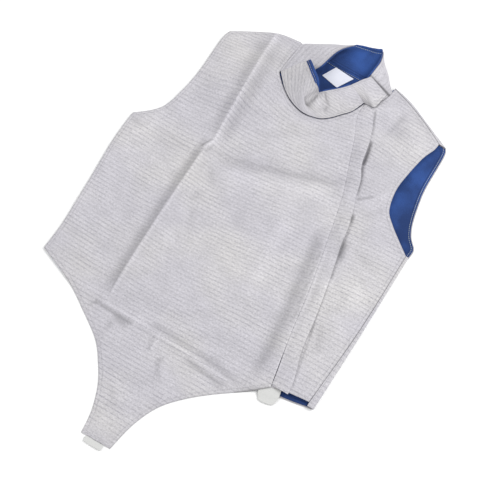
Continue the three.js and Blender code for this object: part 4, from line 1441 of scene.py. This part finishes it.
class LAME_OT_front(bpy.types.Operator):
    """Front panel with its tail, creased where it was pressed and folded."""

    bl_idname = "lame.front"
    bl_label = "Front"

    def execute(self, context):
        make_panel(
            "Front", front_outline(), front_height, "silver on blue", context.scene.lame_cloth.wall,
            ["back_lining"], fine=FRONT_FINE,
        )
        return {"FINISHED"}


class LAME_OT_side_front(bpy.types.Operator):
    """Side front between the zip, the right armhole and the side seam."""

    bl_idname = "lame.side_front"
    bl_label = "Side front"

    def execute(self, context):
        make_panel(
            "Side_front", side_front_outline(), side_front_height, "silver on blue",
            context.scene.lame_cloth.wall, ["back_lining"], ZIP_CELL_SHARE, marks=MARKS + SIDE_MARKS,
        )
        return {"FINISHED"}


class LAME_OT_zip_flap(bpy.types.Operator):
    """Flap over the zip, which stands up along its free edge."""

    bl_idname = "lame.zip_flap"
    bl_label = "Zip flap"

    def execute(self, context):
        make_panel(
            "Zip_flap", flap_outline(), flap_height, "silver", context.scene.lame_cloth.wall,
            ["side_front"], ZIP_CELL_SHARE, flat=FLAP_CUT, hemmed=False,
        )
        return {"FINISHED"}


class LAME_OT_back(bpy.types.Operator):
    """Back panel, its cloth turned up to the side and shoulder seams, and its lining."""

    bl_idname = "lame.back"
    bl_label = "Back and lining"

    def execute(self, context):
        make_panel(
            "Back", back_outline(), lambda x, y, edge: BACK_TOP, "silver", context.scene.lame_cloth.wall,
            [], BACK_CELL_SHARE, weft=no_shift, folds=[], marks=[],
        )
        bm = surface(
            SIDE_TURN.columns, SIDE_TURN.rows, side_turn_place,
            lambda s, t: (t * SIDE_TURN.across, -s * SIDE_TURN.along),
        )
        side = finish_piece("Back_side_turn", bm, "silver", TURN_WALL)
        bm = surface(
            SHOULDER_TURN.columns, SHOULDER_TURN.rows, shoulder_turn_place,
            lambda s, t: (s * SHOULDER_TURN.along, t * SHOULDER_TURN.across),
        )
        shoulder = finish_piece("Back_shoulder_turn", bm, "silver", TURN_WALL)
        make_panel(
            "Back_lining", lining_outline(), lining_height, "blue", LINING_WALL,
            ["Back"], BACK_CELL_SHARE, weft=no_shift, folds=[], marks=LINING_MARKS,
        )
        return {"FINISHED"}


class LAME_OT_collar(bpy.types.Operator):
    """Stand collar: front, tab, left and back bands with their linings."""

    bl_idname = "lame.collar"
    bl_label = "Collar"

    def execute(self, context):
        for band in BANDS:
            make_band(band, lined=False)
            if band.lined_from < 1:
                make_band(band, lined=True)
        return {"FINISHED"}


class LAME_OT_label(bpy.types.Operator):
    """Bare satin label in the back of the neck."""

    bl_idname = "lame.label"
    bl_label = "Label"

    def execute(self, context):
        bm = surface(
            LABEL.columns, LABEL.rows, label_place, lambda s, t: (s * LABEL.across, t * LABEL.along),
        )
        piece = finish_piece("Label", bm, "satin", LABEL.wall, ["label"], smooth=1)
        return {"FINISHED"}


class LAME_OT_elastic(bpy.types.Operator):
    """White elastic at the hem and at the end of the tail."""

    bl_idname = "lame.elastic"
    bl_label = "Elastic"

    def execute(self, context):
        for loop in LOOPS:
            place = partial(loop_place, loop)
            bm = surface(*ELASTIC_CELLS, place, lambda s, t: (s * loop.reach, t * loop.width))
            piece = finish_piece(loop.name, bm, "elastic", ELASTIC_WALL, [loop.name.lower()], smooth=1)
        return {"FINISHED"}


class LAME_OT_sewing(bpy.types.Operator):
    """Rows of stitches along the turned edges and seams."""

    bl_idname = "lame.sewing"
    bl_label = "Sewing"

    def execute(self, context):
        length = context.scene.lame_cloth.stitch * MM
        for name, thread, radius, rows in (
            ("Silver_sewing", "silver thread", SILVER_THREAD_RADIUS, silver_rows()),
            ("Lining_sewing", "lining thread", LINING_THREAD_RADIUS, lining_rows()),
        ):
            bm = bmesh.new()
            for row in rows:
                stitch_row(bm, row, length, radius * MM)
            finish_piece(name, bm, thread, 0)
        return {"FINISHED"}


class LAME_PT_panel(bpy.types.Panel):
    """Lists the pieces and their sizes."""

    bl_idname = "LAME_PT_panel"
    bl_label = "Fencing lame"
    bl_space_type = "VIEW_3D"
    bl_region_type = "UI"
    bl_category = "Lame"

    def draw(self, context):
        for settings in (context.scene.lame_cloth, context.scene.lame_stage):
            for name in settings.bl_rna.properties.keys():
                if name not in ("rna_type", "name"):
                    self.layout.prop(settings, name)
        for piece in PIECES:
            self.layout.operator(piece.bl_idname)


PIECES = [
    LAME_OT_materials, LAME_OT_front, LAME_OT_side_front, LAME_OT_zip_flap, LAME_OT_back,
    LAME_OT_collar, LAME_OT_label, LAME_OT_elastic, LAME_OT_sewing, LAME_OT_stage,
]
CLASSES = [LameCloth, LameStage, *PIECES, LAME_PT_panel]


def register():
    for cls in CLASSES:
        bpy.utils.register_class(cls)
    bpy.types.Scene.lame_cloth = bpy.props.PointerProperty(type=LameCloth)
    bpy.types.Scene.lame_stage = bpy.props.PointerProperty(type=LameStage)


def unregister():
    del bpy.types.Scene.lame_cloth
    del bpy.types.Scene.lame_stage
    for cls in reversed(CLASSES):
        bpy.utils.unregister_class(cls)


def main():
    register()
    for piece in PIECES:
        group, name = piece.bl_idname.split(".")
        getattr(getattr(bpy.ops, group), name)()


if __name__ == "__main__":
    main()
